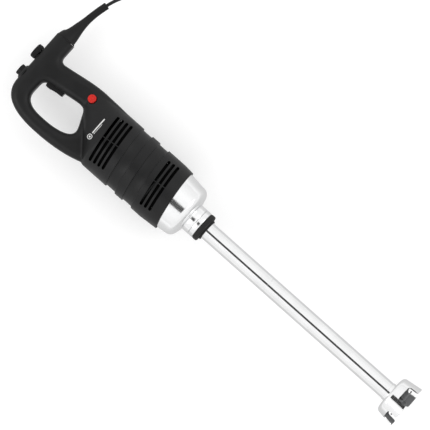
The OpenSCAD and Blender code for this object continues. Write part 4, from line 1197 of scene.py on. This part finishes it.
turned, ground = (2600, 9, 9), (1500, 60, 60)
materials = {
    "casing_plastic": plastic("casingPlastic", (0.0075, 0.0076, 0.0079), (0.38, 0.50),
                              (1500, 0.16, 0.00008), 0.22, 22, 0.26, 0.25, 2.6),
    "trim_plastic": plastic("trimPlastic", (0.0045, 0.0046, 0.005), (0.36, 0.5), (1900, 0.12, 0.00006),
                            0.15, 60, 0.24, 0.3, 2.6),
    "red_plastic": plastic("redPlastic", (0.56, 0.020, 0.014), (0.26, 0.44), (700, 0.25, 0.0002), 0.22, 420,
                           0.22, 0.2, 1.3),
    "boot_rubber": plastic("bootRubber", (0.0065, 0.0065, 0.0068), (0.46, 0.6), (1100, 0.22, 0.0001), 0.2,
                           35, 0.25, 0.15, 2.4),
    "cord_jacket": plastic("cordJacket", (0.007, 0.007, 0.0072), (0.36, 0.5), (900, 0.15, 0.0001), 0.2, 60,
                           0.34),
    "ring_rubber": plastic("ringRubber", (0.011, 0.011, 0.0115), (0.5, 0.66), (1300, 0.25, 0.0001), 0.2, 70,
                           0.3, 0.3, 2.2),
    "polished_aluminium": metal("polishedAluminium", (0.95, 0.953, 0.957), (0.10, 0.17), turned, 0.10),
    "polished_steel": metal("polishedSteel", (0.93, 0.932, 0.935), (0.05, 0.11), (900, 14, 14), 0.045),
    "blade_steel": metal("bladeSteel", (0.17, 0.172, 0.175), (0.22, 0.36), ground, 0.25),
    "plain_steel": metal("plainSteel", (0.36, 0.365, 0.37), (0.3, 0.45), (1800, 40, 40), 0.12),
    "core_steel": banded("coreSteel", (0.05, 0.052, 0.055), (0.12, 0.122, 0.126), 0.9, (0.4, 0.55), 320),
    "copper": banded("copperWire", (0.05, 0.02, 0.010), (0.16, 0.062, 0.028), 0.85, (0.3, 0.45), 420,
                     "DIAGONAL"),
    "bronze": metal("bronze", (0.62, 0.43, 0.21), (0.3, 0.45), (700, 300, 300), 0.2, 0.12, 200),
    "inner_plastic": plastic("innerPlastic", (0.008, 0.0084, 0.009), (0.5, 0.65), (1200, 0.2, 0.0001), 0.2,
                             60, 0.2),
    "pale_plastic": plastic("palePlastic", (0.62, 0.62, 0.60), (0.4, 0.55), (1200, 0.15, 0.0001), 0.06, 60,
                            0.4),
    "board_green": plastic("boardGreen", (0.03, 0.17, 0.07), (0.28, 0.42), (600, 0.3, 0.0002), 0.2, 300,
                           0.5),
    "carbon": plastic("carbonBlock", (0.02, 0.02, 0.022), (0.5, 0.7), (2200, 0.3, 0.0001), 0.25, 200, 0.4)}


def guardSteelShaded():
    # polished outside; the inside of the guard gets painted shade: a much darker base colour, and a higher
    # roughness
    mat = materials["polished_steel"].copy()
    mat.name = "guardSteelShaded"
    tree = mat.node_tree
    shader = tree.nodes["Principled BSDF"]
    spot = add(tree, "ShaderNodeTexCoord")
    parts = add(tree, "ShaderNodeSeparateXYZ")
    flat = add(tree, "ShaderNodeCombineXYZ")
    y, z = add(tree, "ShaderNodeMath", operation="ADD"), add(tree, "ShaderNodeMath", operation="ADD")
    y.inputs[1].default_value, z.inputs[1].default_value = 0.0495, -0.0545
    radius = add(tree, "ShaderNodeVectorMath", operation="LENGTH")
    # wall middle line: radius grows 0.148 mm per mm towards the mouth
    line = add(tree, "ShaderNodeMath", operation="MULTIPLY_ADD")
    line.inputs[1].default_value = 0.148
    line.inputs[2].default_value = 0.0322 - 0.148 * 0.3885
    within = add(tree, "ShaderNodeMath", operation="LESS_THAN")
    past = add(tree, "ShaderNodeMath", operation="GREATER_THAN")
    past.inputs[1].default_value = 0.3846
    shadedInside = add(tree, "ShaderNodeMath", operation="MULTIPLY")
    link(tree, spot.outputs["Object"], parts.inputs["Vector"])
    link(tree, parts.outputs["Y"], y.inputs[0])
    link(tree, parts.outputs["Z"], z.inputs[0])
    link(tree, y.outputs["Value"], flat.inputs["Y"])
    link(tree, z.outputs["Value"], flat.inputs["Z"])
    link(tree, flat.outputs["Vector"], radius.inputs[0])
    link(tree, parts.outputs["X"], line.inputs[0])
    link(tree, radius.outputs["Value"], within.inputs[0])
    link(tree, line.outputs["Value"], within.inputs[1])
    link(tree, parts.outputs["X"], past.inputs[0])
    link(tree, within.outputs["Value"], shadedInside.inputs[0])
    link(tree, past.outputs["Value"], shadedInside.inputs[1])
    # painted shade on the guard's inside: dark grey base colour, with higher roughness
    for label, value in (("Base Color", (0.16, 0.162, 0.165, 1)), ("Roughness", 0.42)):
        before = shader.inputs[label].links[0].from_socket
        mix = add(tree, "ShaderNodeMix", data_type="RGBA" if label == "Base Color" else "FLOAT")
        a, b, out = (6, 7, 2) if label == "Base Color" else (2, 3, 0)
        link(tree, shadedInside.outputs["Value"], mix.inputs[0])
        link(tree, before, mix.inputs[a])
        mix.inputs[b].default_value = value
        link(tree, mix.outputs[out], shader.inputs[label])
    return mat


guardShadedSteel = guardSteelShaded()
# near-black matte colour of the sheet behind the slots: painted shade
slotShadeBlack = plastic("slotShadeBlack", (0.0015, 0.0015, 0.0016), (0.8, 0.95), (2600, 0.4, 0.0002), 0.3, 300,
                      0.05)
printWhite = plastic("printWhite", (0.72, 0.72, 0.71), (0.4, 0.55), (1400, 0.1, 0.00004), 0.08, 500, 0.3)

slotOf = {entry["node"]: entry["material_slot"] for entry in frame["record"]["subparts"]}
for label, obj in nodes.items():
    obj.data.materials.clear()
    obj.data.materials.append(materials[slotOf[label]])
print("materials done")


def finishPiece(obj, body, slotName, *replaced, mat=None):
    obj.data.materials.clear()
    obj.data.materials.append(mat or materials[slotName])
    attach(obj, body)
    if replaced:
        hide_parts(*replaced)


finishPiece(shells["housingFront"], "motor_unit", "casing_plastic", "housing_front")
finishPiece(shells["housingRear"], "motor_unit", "casing_plastic", "housing_rear")
finishPiece(cordBoot, "motor_unit", "boot_rubber", "cord_boot")
finishPiece(speedDial, "speed_dial", "trim_plastic", "speed_dial")
finishPiece(sideButton, "side_button", "red_plastic", "side_button")
finishPiece(unlockButton, "unlock_button", "trim_plastic", "unlock_button")
finishPiece(triggerPiece, "trigger", "trim_plastic", "trigger")
finishPiece(triggerCoil, "motor_unit", "plain_steel", "trigger_spring")
finishPiece(unlockCoil, "motor_unit", "plain_steel", "unlock_spring")
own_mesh(triggerCoil)
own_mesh(unlockCoil)
finishPiece(endBell, "motor_unit", "polished_aluminium", "motor_bell")
finishPiece(collarPiece, "motor_unit", "polished_aluminium", "collar")
finishPiece(couplingNut, "nut", "polished_aluminium", "coupling_nut")
finishPiece(rubberRing, "nut", "ring_rubber", "rubber_ring")
finishPiece(stickTube, "stick", "polished_steel", "stick_tube")
# the guard's steel carries painted shade on its inside
finishPiece(bladeGuard, "stick", "polished_steel", "blade_guard", mat=guardShadedSteel)
finishPiece(bladePiece, "drive", "blade_steel", "blade")
# the sheet behind the slots is painted shade
finishPiece(slotShadeSheet, "motor_unit", "inner_plastic", mat=slotShadeBlack)
finishPiece(printedMark, "motor_unit", "pale_plastic", mat=printWhite)
finishPiece(plugBody, "motor_unit", "boot_rubber", "plug_body")
finishPiece(plugPins, "motor_unit", "plain_steel", "plug_pins")
finishPiece(coilTie, "motor_unit", "trim_plastic", "cord_tie")
finishPiece(mainsCord, "motor_unit", "cord_jacket", "mains_cord", "cord_coil", "cord_tail")


# floor, light
def flatSheet(name, low, high, z, mat):
    bm = bmesh.new()
    bmesh.ops.create_grid(bm, x_segments=1, y_segments=1, size=0.5)
    for v in bm.verts:
        v.co = Vector(((low[0] + high[0]) / 2 + v.co.x * (high[0] - low[0]),
                       (low[1] + high[1]) / 2 + v.co.y * (high[1] - low[1]), z))
    obj = keep(name, bm)
    obj.data.materials.append(mat)
    return obj


def reflector(name, low, high, z, mat):
    # a card that only shows in polished metal
    obj = flatSheet(name, low, high, z, mat)
    obj.visible_camera = False
    obj.visible_diffuse = False
    obj.visible_shadow = False
    return obj


def makeStudio():
    mat, tree, shader = newMaterial("paleFloor")
    tinted(tree, shader, (0.62, 0.62, 0.62), 0.01, 3)
    shader.inputs["Roughness"].default_value = 0.9
    shader.inputs["Specular IOR Level"].default_value = 0.0
    shader.inputs["Emission Color"].default_value = (1, 1, 1, 1)
    shader.inputs["Emission Strength"].default_value = 0.44
    flatSheet("studioFloor", (-8, -8), (8, 8), -0.0004, mat)
    dark, tree, shader = newMaterial("darkCard")
    shader.inputs["Base Color"].default_value = (0.03, 0.03, 0.03, 1)
    shader.inputs["Roughness"].default_value = 1
    reflector("darkCard", (-1.3, -1.10), (0.6, 0.22), 3.25, dark)

    # a grey card on the floor, darker towards the tool, gives the metal its grey edges
    grey = bpy.data.materials.new("greyCard")
    grey.use_nodes = True
    tree = grey.node_tree
    tree.nodes.remove(tree.nodes["Principled BSDF"])
    glow = add(tree, "ShaderNodeEmission")
    spot = add(tree, "ShaderNodeTexCoord")
    parts = add(tree, "ShaderNodeSeparateXYZ")
    away = add(tree, "ShaderNodeMath", operation="ADD")
    away.inputs[1].default_value = 0.0495
    size = add(tree, "ShaderNodeMath", operation="ABSOLUTE")
    ramp = add(tree, "ShaderNodeMapRange")
    ramp.inputs["From Max"].default_value = 0.5
    ramp.inputs["To Min"].default_value = 0.60
    ramp.inputs["To Max"].default_value = 0.93
    link(tree, spot.outputs["Object"], parts.inputs["Vector"])
    link(tree, parts.outputs["Y"], away.inputs[0])
    link(tree, away.outputs["Value"], size.inputs[0])
    link(tree, size.outputs["Value"], ramp.inputs["Value"])
    link(tree, ramp.outputs["Result"], glow.inputs["Strength"])
    link(tree, glow.outputs["Emission"], tree.nodes["Material Output"].inputs["Surface"])
    reflector("greyCard", (-1.6, -1.6), (1.6, 1.6), -0.0002, grey)

    # the room is a little darker towards the horizon
    world = bpy.data.worlds.new("studio")
    scene.world = world
    world.use_nodes = True
    tree = world.node_tree
    spot = add(tree, "ShaderNodeTexCoord")
    parts = add(tree, "ShaderNodeSeparateXYZ")
    ramp = add(tree, "ShaderNodeMapRange")
    ramp.inputs["From Max"].default_value = 0.7
    ramp.inputs["To Min"].default_value = 0.88
    ramp.inputs["To Max"].default_value = 1.0
    link(tree, spot.outputs["Generated"], parts.inputs["Vector"])
    link(tree, parts.outputs["Z"], ramp.inputs["Value"])
    link(tree, ramp.outputs["Result"], tree.nodes["Background"].inputs["Strength"])
    tree.nodes["Background"].inputs["Color"].default_value = (1, 1, 1, 1)
    for name, spot, size, power in (("keyLight", (-1.6, -2.2, 2.6), 2.0, 22),
                                    ("fillLight", (1.8, 2.2, 2.8), 2.2, 16)):
        data = bpy.data.lights.new(name, "AREA")
        data.size = size
        data.energy = power
        lamp = bpy.data.objects.new(name, data)
        lamp.location = spot
        lamp.rotation_euler = (Vector((0, 0, 0)) - Vector(spot)).to_track_quat("-Z", "Y").to_euler()
        scene.collection.objects.link(lamp)


makeStudio()
scene.view_settings.view_transform = "Standard"
scene.view_settings.look = "None"
print("studio done")
